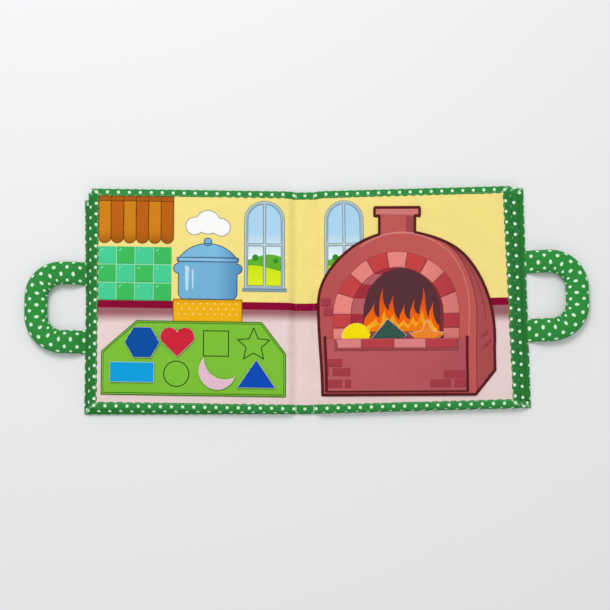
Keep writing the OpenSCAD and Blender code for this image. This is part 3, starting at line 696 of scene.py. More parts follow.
def makeHandle(side):
    s = sides[side]
    node = side + "_handle"
    lo, hi = low(node), high(node)
    band = handleLook["band"]
    tall = size(node).z
    outer = max(abs(lo.x), abs(hi.x)) - handleLook["shorter"]
    midY, halfY = (lo.y + hi.y) / 2 - handleLook["down"][side], (hi.y - lo.y) / 2
    bend = handleLook["bend"] - band / 2
    rootX = reach[coverLayer] - handleLook["rootIn"]
    turnIn = handleLook["turnIn"]
    legY = halfY - band / 2
    barX = outer - band / 2
    leg = barX - bend - rootX
    bar = 2 * (legY - bend)
    turn = bend * math.pi / 2
    total = 2 * leg + 2 * turn + bar

    # Place, heading and bend share at a distance along the band, from the upper root
    def centre(w):
        if w > total / 2:
            p, t, b, r = centre(total - w)
            return Vector((p.x, -p.y)), Vector((-t.x, t.y)), b, r
        if w < leg:
            return Vector((rootX + w, legY)), Vector((1, 0)), smooth((w - leg + turnIn) / turnIn), w
        if w < leg + turn:
            a = (w - leg) / bend
            p = Vector((barX - bend + bend * math.sin(a), legY - bend + bend * math.cos(a)))
            return p, Vector((math.cos(a), -math.sin(a))), 1.0, w
        over = w - leg - turn
        return Vector((barX, legY - bend - over)), Vector((0, -1)), 1 - smooth(over / turnIn), w

    def place(u, v):
        w = u * total
        p, t, bent, fromRoot = centre(w)
        a = -v * tau
        power = 2 / handleLook["round"]
        c, h = math.cos(a), math.sin(a)
        across = math.copysign(abs(c) ** power, c) * band / 2
        up = math.copysign(abs(h) ** power, h) * tall / 2
        squash = smooth(fromRoot / handleLook["taper"])
        up *= 0.3 + 0.7 * squash
        midZ = leafT / 2 + (tall / 2 - leafT / 2) * squash
        inside = clamp(-c * 1.4)
        wave = math.sin(w * tau / handleLook["puckerPitch"] + 1.5 * noise.noise(Vector((w / 0.01, s, 0))))
        dent = handleLook["pucker"] * wave * inside * bent
        atRoot = 1 - smooth(fromRoot / (9 * mm))
        gather = handleLook["gather"] * math.sin(a * handleLook["gathers"]) * atRoot
        bulge = handleLook["bulge"] * noise.noise(Vector((w / 0.02, a, s * 5)))
        up *= 1 + (dent + gather + bulge) / (tall / 2) - 0.03
        across *= 1 + (bulge + dent) / (band / 2)
        normal = Vector((-t.y, t.x))
        xy = p + normal * across
        return Vector((s * xy.x, midY + xy.y, max(midZ + up, 0.05 * mm)))

    girth = tau * math.sqrt(((band / 2) ** 2 + (tall / 2) ** 2) / 2)
    bm = bmesh.new()
    addGrid(bm, handleLook["steps"], handleLook["around"], place,
            lambda u, v: (u * total, v * girth), closed=True)
    piece = finishPiece(bm, node + "_stuffed", [handleCotton], side + "_half", [node])


for side in sides:
    makeHandle(side)
print("handles made")


# Lines of thread, cord and print that follow the cloth

# A rounded line of thread or print along points, lying on topAt(x, y)
def addRibbon(bm, points, width, height, topAt, closed=False, across=4):
    path = [Vector((p[0], p[1])) for p in points]
    if closed:
        path.append(path[0])
    count = len(path) - 1
    lengths = [0.0]
    for i in range(count):
        lengths.append(lengths[-1] + (path[i + 1] - path[i]).length)
    normals = []
    for i in range(count + 1):
        first, last = path[1] - path[0], path[-1] - path[-2]
        before = path[i] - path[i - 1] if i else (last if closed else first)
        after = path[i + 1] - path[i] if i < count else (first if closed else last)
        n0 = Vector((-before.y, before.x)).normalized()
        n1 = Vector((-after.y, after.x)).normalized()
        mid = (n0 + n1).normalized()
        normals.append(mid / max(mid.dot(n0), 0.5))

    def place(u, v):
        i = min(round(u * count), count)
        t = 2 * v - 1
        xy = path[i] + normals[i] * t * width / 2
        return Vector((xy.x, xy.y, topAt(xy.x, xy.y) + height * math.sqrt(max(1 - t * t, 0)) - 0.02 * mm))

    return addGrid(bm, count, across, place,
                   lambda u, v: (lengths[min(round(u * count), count)], v * width))


# Separate stitches at an even pitch along a line of points
def addStitches(bm, points, pitch, length, width, height, topAt):
    path = [Vector((p[0], p[1])) for p in points]
    steps = [(path[i + 1] - path[i]).length for i in range(len(path) - 1)]

    def pointAt(d):
        for i, step in enumerate(steps):
            if d <= step or i == len(steps) - 1:
                return path[i].lerp(path[i + 1], clamp(d / step))
            d -= step

    for k in range(int(sum(steps) / pitch)):
        start = (k + 0.5) * pitch - length / 2
        ends = [pointAt(start + length * i / 4) for i in range(5)]
        begin, finish = ends[0], ends[-1]

        def top(x, y, begin=begin, finish=finish):
            t = (Vector((x, y)) - begin).dot(finish - begin) / max((finish - begin).length_squared, 1e-12)
            return topAt(x, y) - height * 0.9 * (2 * clamp(t) - 1) ** 4
        addRibbon(bm, ends, width, height, top, across=3)


def lineOf(p, q, step=2 * mm):
    count = max(1, round((Vector(q) - Vector(p)).length / step))
    return [Vector(p).lerp(Vector(q), i / count) for i in range(count + 1)]


stitchLook = {"pitch": 3.6 * mm, "length": 2.5 * mm, "thread": 0.55 * mm, "height": 0.25 * mm,
              "spineThread": 0.3 * mm, "spineHeight": 0.08 * mm, "tackThread": 0.7 * mm,
              "tackHeight": 0.25 * mm,
              "hemIn": 1.3 * mm, "hemFrom": 19 * mm, "tacks": 4}
rowFoot, rowHead = low("spine_thread_right").y, high("spine_thread_right").y


def rowTop(x, y):
    return max(pageTop(x, y), layerTop(layerCount, x) + 0.5 * mm if abs(y) > printTop else 0)


for side, s in sides.items():
    # The sewn row over the cloth, and white tacks over the tapes at both ends of it
    bm = bmesh.new()
    row = lineOf((s * seamX, rowFoot), (s * seamX, rowHead), 1.2 * mm)
    addStitches(bm, row, stitchLook["pitch"], stitchLook["length"], stitchLook["spineThread"],
                stitchLook["spineHeight"],
                rowTop)
    for face in bm.faces:
        face.material_index = 1
    for y0, y1 in ((printTop + 0.5 * mm, rowHead), (rowFoot, printFoot - 0.5 * mm)):
        addRibbon(bm, lineOf((s * seamX, y0), (s * seamX, y1), 0.6 * mm), stitchLook["tackThread"],
                  stitchLook["tackHeight"], lambda x, y: layerTop(layerCount, x) + 0.45 * mm)
    finishPiece(bm, f"spine_stitches_{side}", [whiteThread, spineThread], "spine",
                [f"spine_thread_{side}"])

    # The pale row along the inner edge of the top leaf's tape
    bm = bmesh.new()
    inner = tapeWidth - stitchLook["hemIn"]
    edgeX, headY, footY = reach[topLayer] - inner, head[topLayer] - inner, foot[topLayer] + inner
    corners = [(s * stitchLook["hemFrom"], headY), (s * edgeX, headY), (s * edgeX, footY),
               (s * stitchLook["hemFrom"], footY)]
    rows = [lineOf(corners[i], corners[i + 1]) for i in range(3)]
    for row in rows:
        addStitches(bm, row, stitchLook["pitch"], stitchLook["length"], stitchLook["thread"],
                    stitchLook["height"],
                    lambda x, y: layerTop(layerCount, x) - 0.02 * mm)
    finishPiece(bm, f"{side}_tape_stitches", [paleThread], side + "_half")

    # White tacks that hold the corners of each leaf's tape
    bm = bmesh.new()
    for layer in (coverLayer, middleLayer, topLayer):
        for y, down in ((head[layer], -1), (foot[layer], 1)):
            corner = Vector((s * (reach[layer] - 1.2 * mm), y + down * 1.2 * mm))
            inside = Vector((s * (reach[layer] - tapeWidth), y + down * tapeWidth))
            for k in range(stitchLook["tacks"]):
                slide = Vector((-s * 0.9 * mm * k, down * 0.3 * mm * k))
                tack = lineOf(corner + slide, corner.lerp(inside, 0.75) + slide * 1.3, 0.8 * mm)
                tack = [Vector((p.x, p.y + layerUp(layer, p.x, p.y, s))) for p in tack]
                addRibbon(bm, tack, 0.4 * mm, 0.3 * mm, lambda x, y, n=layer: leafZ(n, x, 1.06), across=3)
    finishPiece(bm, f"{side}_corner_tacks", [whiteThread], side + "_half")
print("stitching made")


# Printed fields of the pages

printThick, lineThick = 0.1 * mm, 0.05 * mm
# How far the top of each print stands over the page, so that one lies on the other
lifts = {"base": 0.12 * mm, "farHill": 0.15 * mm, "nearHill": 0.18 * mm, "second": 0.2 * mm,
         "bush": 0.205 * mm,
         "frame": 0.24 * mm, "bevel": 0.25 * mm, "third": 0.28 * mm, "line": 0.3 * mm}


# Fields of print that lie on the page, each a closed ring of points
def printed(name, rings, lift, material, side, nodes=()):
    bm = cutPatch(rings)
    raisePatch(bm, lambda x, y: pageTop(x, y) + lifts[lift], printThick)
    finishPiece(bm, name, [material], side + "_half", nodes)


# Drawn outlines round printed fields
def printedLines(name, rings, width, material, side, lift="line"):
    bm = bmesh.new()
    for ring in rings:
        addRibbon(bm, resample(ring, 1.5 * mm), width, lineThick, lambda x, y: pageTop(x, y) + lifts[lift],
                  closed=True, across=2)
    finishPiece(bm, name, [material], side + "_half")


# A stripe with a rounded foot
def scallops(x0, y0, width, top):
    return [(x0 + width, top), (x0, top)] + arc(x0 + width / 2, y0, width / 2, 180, 360, 14)


awningLook = {"stripes": 6, "light": "#cd8116", "dark": "#b8600e", "line": "#7c3d0a", "shade": "#9a5208"}
awningLeft = low("awning_light_stripes").x
stripe = size("awning_light_stripes").x / (awningLook["stripes"] - 1)
awningTop = high("awning_light_stripes").y
awningFoot = low("awning_light_stripes").y + stripe / 2
shadeFrom, shadeTo = awningFoot + 12 * mm, awningFoot - 6 * mm
for first, tone in ((0, "light"), (1, "dark")):
    rings = [scallops(awningLeft + i * stripe, awningFoot, stripe, awningTop)
             for i in range(first, awningLook["stripes"], 2)]
    cloth = printCotton(tone + " awning", awningLook[tone], fadeBetween(1, shadeFrom, shadeTo,
                                                                        awningLook["shade"]))
    slotName = "orange_print" if tone == "light" else "rust_print"
    printed(f"awning_{tone}", rings, "base", cloth, "left", [f"awning_{tone}_stripes"])
awningRings = [scallops(awningLeft + i * stripe, awningFoot, stripe, awningTop)
               for i in range(awningLook["stripes"])]
awningLine = printCotton("awning line", awningLook["line"])
printedLines("awning_lines", awningRings, 0.7 * mm, awningLine, "left")
rodY = awningTop - 5 * mm
rod = [rectangle(awningLeft, rodY, awningLeft + awningLook["stripes"] * stripe, awningTop)]
printed("awning_rail", rod, "second", printCotton("awning rail", "#a85a12"), "left")
printedLines("awning_rail_line", rod, 0.7 * mm, awningLine, "left")

tileLook = {"light": "#46cd92", "dark": "#3cbc5c", "grout": "#93dcae", "shine": "#7fe2b4",
            "pitch": 18.4 * mm,
            "gap": 1.0 * mm}
tilePitch, tileGrout = tileLook["pitch"], tileLook["gap"]
tileX, tileY = awningLeft, low("light_checks").y
groutRing = rectangle(tileX, tileY, tileX + 4 * tilePitch - tileGrout, tileY + 3 * tilePitch - tileGrout)
printed("check_grout", [groutRing], "base", printCotton("tile grout", tileLook["grout"]), "left")
for first, tone, slotName in ((0, "light", "mint_print"), (1, "dark", "green_print")):
    rings = []
    shines = []
    for row in range(3):
        for column in range(4):
            if (row + column) % 2 == first:
                x, y = tileX + column * tilePitch, tileY + row * tilePitch
                span = tilePitch - tileGrout
                rings.append(rectangle(x, y, x + span, y + span))
                shines.append([(x + 2 * mm, y + span - 5.5 * mm), (x + 5.5 * mm, y + span - 2 * mm),
                               (x + 3.6 * mm, y + span - 2 * mm), (x + 2 * mm, y + span - 3.6 * mm)])
    cloth = printCotton(tone + " tile", tileLook[tone])
    printed(f"{tone}_check_print", rings, "second", cloth, "left", [f"{tone}_checks"])
    printed(f"{tone}_check_shines", shines, "third", printCotton(tone + " tile shine", tileLook["shine"]),
            "left")
print("awning and tiles made")


# Arched windows

windowLook = {"frame": "#b9d0d4", "frameShade": "#7f9fae", "line": "#4c6472", "sky": "#a9d2ee",
              "skyLow": "#eef6f4",
              "hill": "#b4df10", "farHill": "#5fb02c", "bush": "#2f8f2a", "frameWide": 3.5 * mm,
              "barWide": 2.4 * mm}
windowWide = size("left_window_frame").x
windowFoot, windowTop = low("left_window_frame").y, high("left_window_frame").y
frameWide, barWide = windowLook["frameWide"], windowLook["barWide"]


def archRing(mid, inset):
    r = windowWide / 2 - inset
    straightTop = windowTop - windowWide / 2
    foot = windowFoot + inset
    return [(mid - r, foot), (mid + r, foot)] + arc(mid, straightTop, r, 0, 180, 20)


# The four openings between a window's bars
def panes(mid):
    r = windowWide / 2 - frameWide
    foot, half = windowFoot + frameWide, (windowFoot + windowTop) / 2
    straightTop = windowTop - windowWide / 2
    out = []
    for s in (-1, 1):
        x0, x1 = sorted((mid + s * barWide / 2, mid + s * r))
        out.append(rectangle(x0, foot, x1, half - barWide / 2))
        edge = math.degrees(math.asin(barWide / 2 / r))
        a0, a1 = (0, 90 - edge) if s > 0 else (90 + edge, 180)
        y0 = half + barWide / 2
        out.append([(x0, y0), (x1, y0)] + arc(mid, straightTop, r, a0, a1, 10))
    return out


def hillRing(mid, base, height, wave, shift):
    r = windowWide / 2 - frameWide + 0.4 * mm
    foot = windowFoot + frameWide - 0.4 * mm
    crest = []
    for i in range(21):
        x = mid + r - 2 * r * i / 20
        crest.append((x, base + height * math.sin((x - mid) / wave + shift)))
    return [(mid - r, foot), (mid + r, foot)] + crest


def makeWindow(side):
    s = sides[side]
    mid = s * (abs(low("left_window_frame").x) + abs(high("left_window_frame").x)) / 2
    half = (windowFoot + windowTop) / 2
    sky = printCotton(side + " sky", windowLook["sky"], fadeBetween(1, half + 18 * mm, half - 20 * mm,
                                                                   windowLook["skyLow"], 1.0))
    nodes = [side + "_window_sky"]
    printed(side + "_sky", [archRing(mid, frameWide - 0.4 * mm)], "base", sky, side, nodes)
    far = printCotton(side + " far hill", windowLook["farHill"])
    near = printCotton(side + " near hill", windowLook["hill"], fadeBetween(
        1, half - 4 * mm, windowFoot, "#e3ee1c", 0.9))
    printed(side + "_far_hill", [hillRing(mid, half - 13 * mm, 3.4 * mm, 9 * mm, 1.0)], "farHill", far,
            side,
            ["left_window_hills"] if side == "left" else [])
    printed(side + "_near_hill", [hillRing(mid, half - 24 * mm, 3 * mm, 11 * mm, 2.6)], "nearHill", near,
            side)
    bushes = [circleRing(mid - 9 * mm, half - 13 * mm, 3.2 * mm, 18),
              circleRing(mid + 11 * mm, half - 16 * mm, 2.4 * mm, 16)]
    printed(side + "_bushes", bushes, "bush", printCotton(side + " bush", windowLook["bush"]), side)
    frameCloth = printCotton(side + " window frame", windowLook["frame"])
    printed(side + "_frame", [archRing(mid, 0)] + panes(mid), "frame", frameCloth, side,
            [side + "_window_frame"])
    line = printCotton(side + " window line", windowLook["line"])
    printedLines(side + "_frame_lines", [archRing(mid, 0.2 * mm)] + panes(mid), 0.5 * mm, line, side)
    shade = printCotton(side + " window shade", windowLook["frameShade"])
    printedLines(side + "_frame_bevel", [archRing(mid, frameWide * 0.62)], 1.0 * mm, shade, side,
                 "bevel")
    sill = rectangle(mid - windowWide / 2 - 2 * mm, windowFoot - 2.5 * mm, mid + windowWide / 2 + 2 * mm,
                     windowFoot + 1.2 * mm)
    printed(side + "_sill", [sill], "third", shade, side)


for side in sides:
    makeWindow(side)
print("windows made")


# Pot, lid, steam and cloth

potLook = {"body": "#73b0d6", "shade": "#4a83b4", "shine": "#b9def2", "line": "#28496e", "steam": "#f6f6f4",
           "steamLine": "#8a8f9c", "cloth": "#efb010", "clothDot": "#fbe39a", "clothLine": "#9a5c08",
           "wide": 58 * mm}
potX = (low("lid_print").x + high("lid_print").x) / 2
potWide = potLook["wide"]
potFoot, potTop = low("pot_print").y, high("pot_print").y


def potRing():
    half, corner, ear = potWide / 2, 6 * mm, 5 * mm
    ring = arc(potX - half + corner, potFoot + corner, corner, 180, 270, 6)
    ring += arc(potX + half - corner, potFoot + corner, corner, 270, 360, 6)
    ring += arc(potX + half, potTop - 11 * mm, ear, -90, 90, 8)
    ring += [(potX + half, potTop), (potX - half, potTop)]
    return ring + arc(potX - half, potTop - 11 * mm, ear, 90, 270, 8)


# The outline of several overlapping circles, seen from a point inside
def unionRing(circles, cx, cy, count=72):
    out = []
    for i in range(count):
        a = tau * i / count
        d = Vector((math.cos(a), math.sin(a)))
        far = 0
        for x, y, r in circles:
            c = Vector((x - cx, y - cy))
            along = c.dot(d)
            inside = r * r - (c.length_squared - along * along)
            if inside > 0:
                far = max(far, along + math.sqrt(inside))
        out.append((cx + far * d.x, cy + far * d.y))
    return out


potShade = fadeBetween(0, potX + 4 * mm, potX + potWide / 2 + 4 * mm, potLook["shade"])
potCloth = printCotton("pot", potLook["body"], potShade)
potLine = printCotton("pot line", potLook["line"])
potShine = printCotton("pot shine", potLook["shine"])
printed("pot_body", [potRing()], "base", potCloth, "left", ["pot_print"])
rim = rectangle(potX - potWide / 2 - 1.5 * mm, potTop - 4 * mm, potX + potWide / 2 + 1.5 * mm, potTop)
printed("pot_rim", [rim], "second", printCotton("pot rim", "#8cc2e2", potShade), "left")
lidArc = arc(potX, potTop - potWide * 0.35, potWide * 0.6, 35.7, 144.3, 20)
printed("pot_lid", [lidArc], "base", printCotton("lid", "#7cb8dc", potShade),
        "left", ["lid_print"])
knob = circleRing(potX, potTop + potWide * 0.28, 4 * mm, 20)
printed("lid_knob", [knob], "second", potCloth, "left")
shines = [[(potX - 22 * mm, potFoot + 9 * mm), (potX - 19 * mm, potFoot + 8 * mm),
           (potX - 18.5 * mm, potTop - 9 * mm),
           (potX - 22.5 * mm, potTop - 8 * mm)],
          [(potX - 15.5 * mm, potFoot + 10 * mm), (potX - 14 * mm, potFoot + 10 * mm),
           (potX - 14 * mm, potTop - 12 * mm),
           (potX - 15.8 * mm, potTop - 12 * mm)]]
printed("pot_shines", shines, "second", potShine, "left")
printedLines("pot_lines", [potRing(), rim, lidArc, knob], 0.7 * mm, potLine, "left")
steamY = potTop + potWide * 0.28 + 16 * mm
puffs = [(potX - 13 * mm, steamY, 9 * mm), (potX, steamY + 4 * mm, 12 * mm),
         (potX + 13 * mm, steamY - 1 * mm, 9 * mm)]
steam = unionRing(puffs, potX, steamY)
printed("steam_cloud", [steam], "base", printCotton("steam", potLook["steam"]),
        "left", ["steam_print"])
printedLines("steam_line", [steam], 0.6 * mm, printCotton("steam line", potLook["steamLine"]), "left")

clothHalf = size("cloth_print").x / 2
clothTop, clothFoot = potFoot, potFoot - 20 * mm
tableCloth = [(potX - clothHalf, clothTop), (potX - clothHalf, clothFoot - 4 * mm),
              (potX + clothHalf, clothFoot - 4 * mm), (potX + clothHalf, clothTop)]
goldCloth = printCotton("gold cloth", potLook["cloth"], fadeBetween(1, clothTop - 4 * mm,
                                                                    clothTop + 3 * mm, "#c98a06"))
printed("gold_cloth", [tableCloth], "base", goldCloth, "left", ["cloth_print"])
spots = []
for row in range(3):
    for column in range(9):
        x = potX + (column - 4 + (row % 2) / 2) * 7.2 * mm
        if abs(x - potX) < clothHalf - 2 * mm:
            spots.append(circleRing(x, clothTop - (4.5 + 5.2 * row) * mm, 0.9 * mm, 8))
printed("gold_cloth_spots", spots, "second", printCotton("pale spot", potLook["clothDot"]),
        "left")
printedLines("gold_cloth_line", [tableCloth], 0.6 * mm, printCotton("cloth line", potLook["clothLine"]),
             "left")
print("pot and cloth made")


# Shape board and its felt shapes

boardLook = {"cloth": "#7cc036", "line": "#27600f", "outline": "#143a0a", "outlineWidth": 1.0 * mm,
             "hem": 2.2 * mm,
             "rise": 0.9 * mm}
boardLow, boardHigh = low("shape_board"), high("shape_board")
boardRight, boardWide = boardHigh.x, boardHigh.x - boardLow.x
boardTall = boardHigh.y - boardLow.y


def boardTop(x, y):
    return pageTop(x, y) + boardLook["rise"]


shoulder = boardLow.y + boardTall * 0.58
boardRing = [(boardRight, boardLow.y), (boardRight, shoulder), (boardRight - boardWide * 0.13, boardHigh.y),
             (boardRight - boardWide * 0.81, boardHigh.y), (boardLow.x, shoulder), (boardLow.x, boardLow.y)]
boardSides = [(Vector(boardRing[i - 1]), Vector(boardRing[i])) for i in range(6)]
boardCloth = clothMaterial("grass green board cotton", boardLook["cloth"], mottle=0.05, crease=0.25)


# The nearest place on a line from a to b
def nearest(a, b, x, y):
    t = (Vector((x, y)) - a).dot(b - a) / (b - a).length_squared
    return a.lerp(b, clamp(t))


# The board's face, pulled down a little by its edge stitching
def boardEdgeTop(x, y):
    dist = min((Vector((x, y)) - nearest(a, b, x, y)).length for a, b in boardSides)
    puff = smooth(dist / (4 * mm)) - math.exp(-((dist - boardLook["hem"]) / (0.9 * mm)) ** 2) * 0.6
    return boardTop(x, y) + (puff * 0.3 - 0.3) * mm


# The board keeps its place where the page's edge fans out
def boardLie(co):
    return Vector((co.x + 0.0125 * abs(co.x), co.y, co.z))


bm = cutPatch([boardRing])
raisePatch(bm, boardEdgeTop, 0.75 * mm, edgeRound=0.25 * mm)
board = finishPiece(bm, "board_cloth_panel", [boardCloth], "left_half", ["shape_board"],
                    lie=boardLie)
boardThread = threadMaterial("dark green cotton thread", boardLook["line"])
bm = bmesh.new()
hemRing = resample(insetRing(boardRing, boardLook["hem"]), 1.6 * mm)
addRibbon(bm, hemRing, 0.8 * mm, 0.2 * mm, boardEdgeTop, closed=True)
edgeRing = resample(insetRing(boardRing, 0.35 * mm), 1.6 * mm)
addRibbon(bm, edgeRing, 0.9 * mm, 0.25 * mm, boardEdgeTop, closed=True)
hem = finishPiece(bm, "board_edge_stitching", [boardThread], "left_half", lie=boardLie)

boardMidY = (boardHigh.y + boardLow.y) / 2
upperRow, lowerRow = boardMidY + boardTall * 0.203, boardMidY - boardTall * 0.21


def centreOf(node):
    return (low(node) + high(node)) / 2


def starRing(cx, cy, r, inner=0.46):
    out = []
    for i in range(10):
        a = math.pi / 2 + tau * i / 10
        q = r if i % 2 == 0 else r * inner
        out.append((cx + q * math.cos(a), cy + q * math.sin(a)))
    return out


starX, squareX, circleX = (boardRight - boardWide * t for t in (0.174, 0.378, 0.592))
squareHalf = 12.5 * mm
outlines = [starRing(starX, upperRow - 1 * mm, 17 * mm), circleRing(circleX, lowerRow, 12.5 * mm, 48),
            rectangle(squareX - squareHalf, upperRow - squareHalf, squareX + squareHalf,
                      upperRow + squareHalf)]
bm = bmesh.new()
for ring in outlines:
    addRibbon(bm, resample(ring, 1.0 * mm), boardLook["outlineWidth"], 0.12 * mm,
              lambda x, y: boardTop(x, y) + 0.03 * mm, closed=True)
outlineThread = threadMaterial("deep green cotton thread", boardLook["outline"], pitch=1.4)
finishPiece(bm, "board_shape_lines", [outlineThread], "left_half", ["shape_outlines"],
            lie=boardLie)


def heartRing(cx, cy, w):
    r, x, tip = w * 0.27, w * 0.23, w * 0.593
    lean = math.degrees(math.atan2(r, math.sqrt(x * x + tip * tip - r * r)) + math.atan2(x, tip))
    cleft = math.degrees(math.acos(-x / r))
    ring = arc(x, 0, r, -lean, cleft, 20) + arc(-x, 0, r, 180 - cleft, 180 + lean, 20)[1:] + [(0, -tip)]
    return [(cx + p[0], cy + p[1]) for p in ring]


def crescentRing(cx, cy, d, turn=59):
    ring = arc(0, 0, d / 2, 76.2, 283.8, 40) + arc(0.378 * d, 0, 0.55 * d, 241.97, 118.03, 30)[1:-1]
    c, s = math.cos(math.radians(turn)), math.sin(math.radians(turn))
    return [(cx + c * x - s * y, cy + s * x + c * y) for x, y in ring]


feltLook = {"thick": 1.5 * mm, "bevel": 0.3 * mm, "patch": 0.35 * mm}


# A loose felt shape with pale cut edges, a little bowed
def feltShape(node, ring, colour, baseAt, lie, warp=0.25 * mm):
    body = "left_half" if centreOf(node).x < 0 else "right_half"
    c = centreOf(node)
    wide = max(size(node).x, size(node).y)

    def top(x, y):
        bow = warp * (((x - c.x) * 0.8 + (y - c.y) * 0.6) / (wide / 2)) ** 2
        return baseAt(x, y) + feltLook["patch"] + feltLook["thick"] + bow
    bm = cutPatch([ring])
    raisePatch(bm, top, feltLook["thick"], edgeRound=feltLook["bevel"], rimMaterial=1)
    felt = feltMaterial(node + " pressed felt", colour)
    return finishPiece(bm, node + "_felt", [felt, feltEdge], body, [node], lie=lie)


c = centreOf("hexagon")
hexRadius = size("hexagon").x / 2
hexRing = [(c.x + hexRadius * math.cos(tau * i / 6),
            c.y + hexRadius * math.sin(tau * i / 6)) for i in range(6)]
feltShape("hexagon", hexRing, "#064da0", boardTop, boardLie)
c = centreOf("heart")
heartWide = size("heart").x
heartMidY = high("heart").y - heartWide * 0.27
feltShape("heart", heartRing(c.x, heartMidY, heartWide), "#cc2338", boardTop, boardLie)
lo, hi = low("rectangle"), high("rectangle")
feltShape("rectangle", rectangle(lo.x, lo.y, hi.x, hi.y), "#0a9edc", boardTop, boardLie)
lo, hi = low("triangle"), high("triangle")
feltShape("triangle", [(lo.x, lo.y), (hi.x, lo.y), ((lo.x + hi.x) / 2, hi.y)], "#0a49b4",
          boardTop, boardLie)
crescentD = 37 * mm
crescentAt = (boardRight - boardWide * 0.37, lowerRow + 3.3 * mm)
feltShape("crescent", crescentRing(crescentAt[0], crescentAt[1], crescentD), "#e4bccd",
          boardTop, boardLie)
hookCloth = clothMaterial("hook tape", "#e4e6de", thread=1.6, weave=0.9, crease=0.1)
hooks = [circleRing(centreOf(n).x, centreOf(n).y - drop, 5 * mm, 20)
         for n, drop in (("hexagon", 0), ("heart", 0), ("rectangle", 0), ("triangle", 4 * mm))]
hooks.append(circleRing(crescentAt[0] - 6.2 * mm, crescentAt[1] - 10.4 * mm, 4 * mm, 20))
bm = cutPatch(hooks)
raisePatch(bm, lambda x, y: boardTop(x, y) + 0.3 * mm, 0.3 * mm)
finishPiece(bm, "hook_tape_patches", [hookCloth], "left_half", ["hook_patches"], lie=boardLie)
print("board and felt shapes made")


# Oven panel

ovenLook = {"cloth": "#c05855", "shade": "#a84850", "edge": "#570a10", "edgeWidth": 2.9 * mm,
            "rise": 1.0 * mm,
            "cut": 8 * mm, "domeTall": 71 * mm, "domeDrop": 44.9 * mm, "chimney": 38 * mm,
            "chimneyTall": 22 * mm,
            "cap": 10 * mm, "capOver": 5 * mm, "turn": 1.3, "drop": 3.5 * mm, "bulge": 4 * mm,
            "swell": 0.055}
ovenLow, ovenHigh = low("oven_panel"), high("oven_panel")
ovenMid, ovenHalf = (ovenLow.x + ovenHigh.x) / 2, (ovenHigh.x - ovenLow.x) / 2
frontMid = (low("pocket_front").x + high("pocket_front").x) / 2
pocketTop = high("pocket_front").y
domeY = ovenHigh.y - 2 * mm - ovenLook["chimneyTall"] - ovenLook["domeTall"]
domeMid = ovenMid - ovenHalf * 0.0632


def ovenTop(x, y):
    return pageTop(x, y) + ovenLook["rise"]


# The oven is sewn on a little turned, its cloth is pulled down towards its foot, and it bulges at its left
# edge and at the right shoulder of its dome
def ovenLie(co):
    turn = math.radians(ovenLook["turn"])
    x, y = co.x - frontMid, co.y + 5 * mm
    down = ovenLook["drop"] * (ovenHigh.y - co.y) / (ovenHigh.y - ovenLow.y)
    atLeft = 1 - smooth((co.x - ovenLow.x) / (34 * mm))
    atMiddle = smooth((co.y - ovenLow.y) / (85 * mm)) * (1 - smooth((co.y - domeY) / (68 * mm)))
    across = (co.x - domeMid) / (ovenHigh.x - domeMid)
    up = (co.y - domeY + ovenLook["domeDrop"]) / (ovenLook["domeTall"] + ovenLook["domeDrop"])
    swell = 0
    if across > 0 and up > 0:
        a = math.atan2(up, across)
        swell = ovenLook["swell"] * min(math.hypot(across, up), 1) ** 3 * math.sin(2 * a)
        swell *= 1 - smooth((math.degrees(a) - 46) / 38)
    newX = co.x + y * turn - ovenLook["bulge"] * atLeft * atMiddle + swell * (co.x - domeMid)
    newY = co.y - x * turn - down + swell * (co.y - domeY + ovenLook["domeDrop"])
    return Vector((newX, newY, co.z + layerTop(layerCount, newX) - layerTop(layerCount, co.x)))


# A bend that runs along with the oven's dome, which drops further on its right side
def ovenArc(scaleX, scaleY, a0, a1, count=24):
    out = []
    for i in range(count + 1):
        a = math.radians(a0 + (a1 - a0) * i / count)
        side = ovenLow.x if math.cos(a) < 0 else ovenHigh.x
        drop = 0 if math.cos(a) < 0 else ovenLook["domeDrop"]
        out.append((domeMid + abs(side - domeMid) * scaleX * math.cos(a),
                    domeY - drop + (ovenLook["domeTall"] * scaleY + drop) * math.sin(a)))
    return out


def ovenRing():
    cut = ovenLook["cut"]
    right, left = frontMid + ovenLook["chimney"] / 2, frontMid - ovenLook["chimney"] / 2
    a0 = math.degrees(math.acos((right - domeMid) / (ovenHigh.x - domeMid)))
    a1 = math.degrees(math.acos((left - domeMid) / (domeMid - ovenLow.x)))
    y0, y1, over = ovenHigh.y - ovenLook["cap"], ovenHigh.y, ovenLook["capOver"]
    ring = [(ovenLow.x + cut / 4, ovenLow.y), (ovenHigh.x - 2.5 * cut, ovenLow.y),
            (ovenHigh.x, ovenLow.y + 3 * cut)]
    ring += ovenArc(1, 1, 0, a0, 20)
    ring += [(right, y0), (right + over, y0), (right + over, y1), (left - over, y1),
             (left - over, y0), (left, y0)]
    return ring + ovenArc(1, 1, a1, 180, 20)


ovenShade = fadeBetween(0, ovenMid - 20 * mm, ovenLow.x, ovenLook["shade"], 0.5)
ovenCloth = clothMaterial("brick red panel cotton", ovenLook["cloth"], mottle=0.06, crease=0.25,
                          paint=ovenShade)
outline = ovenRing()
bm = cutPatch([outline])
raisePatch(bm, ovenTop, 0.9 * mm, edgeRound=0.2 * mm)
oven = finishPiece(bm, "oven_cloth_panel", [ovenCloth], "right_half", ["oven_panel"],
                   lie=ovenLie)
satin = threadMaterial("dark wine satin stitch", ovenLook["edge"], pitch=0.8)
bm = bmesh.new()
addRibbon(bm, resample(insetRing(outline, 0.9 * mm), 1.5 * mm), ovenLook["edgeWidth"], 0.6 * mm,
          lambda x, y: ovenTop(x, y) - 0.15 * mm, closed=True, across=8)
ovenEdge = finishPiece(bm, "oven_satin_edge", [satin], "right_half", ["oven_edge"],
                       lie=ovenLie)


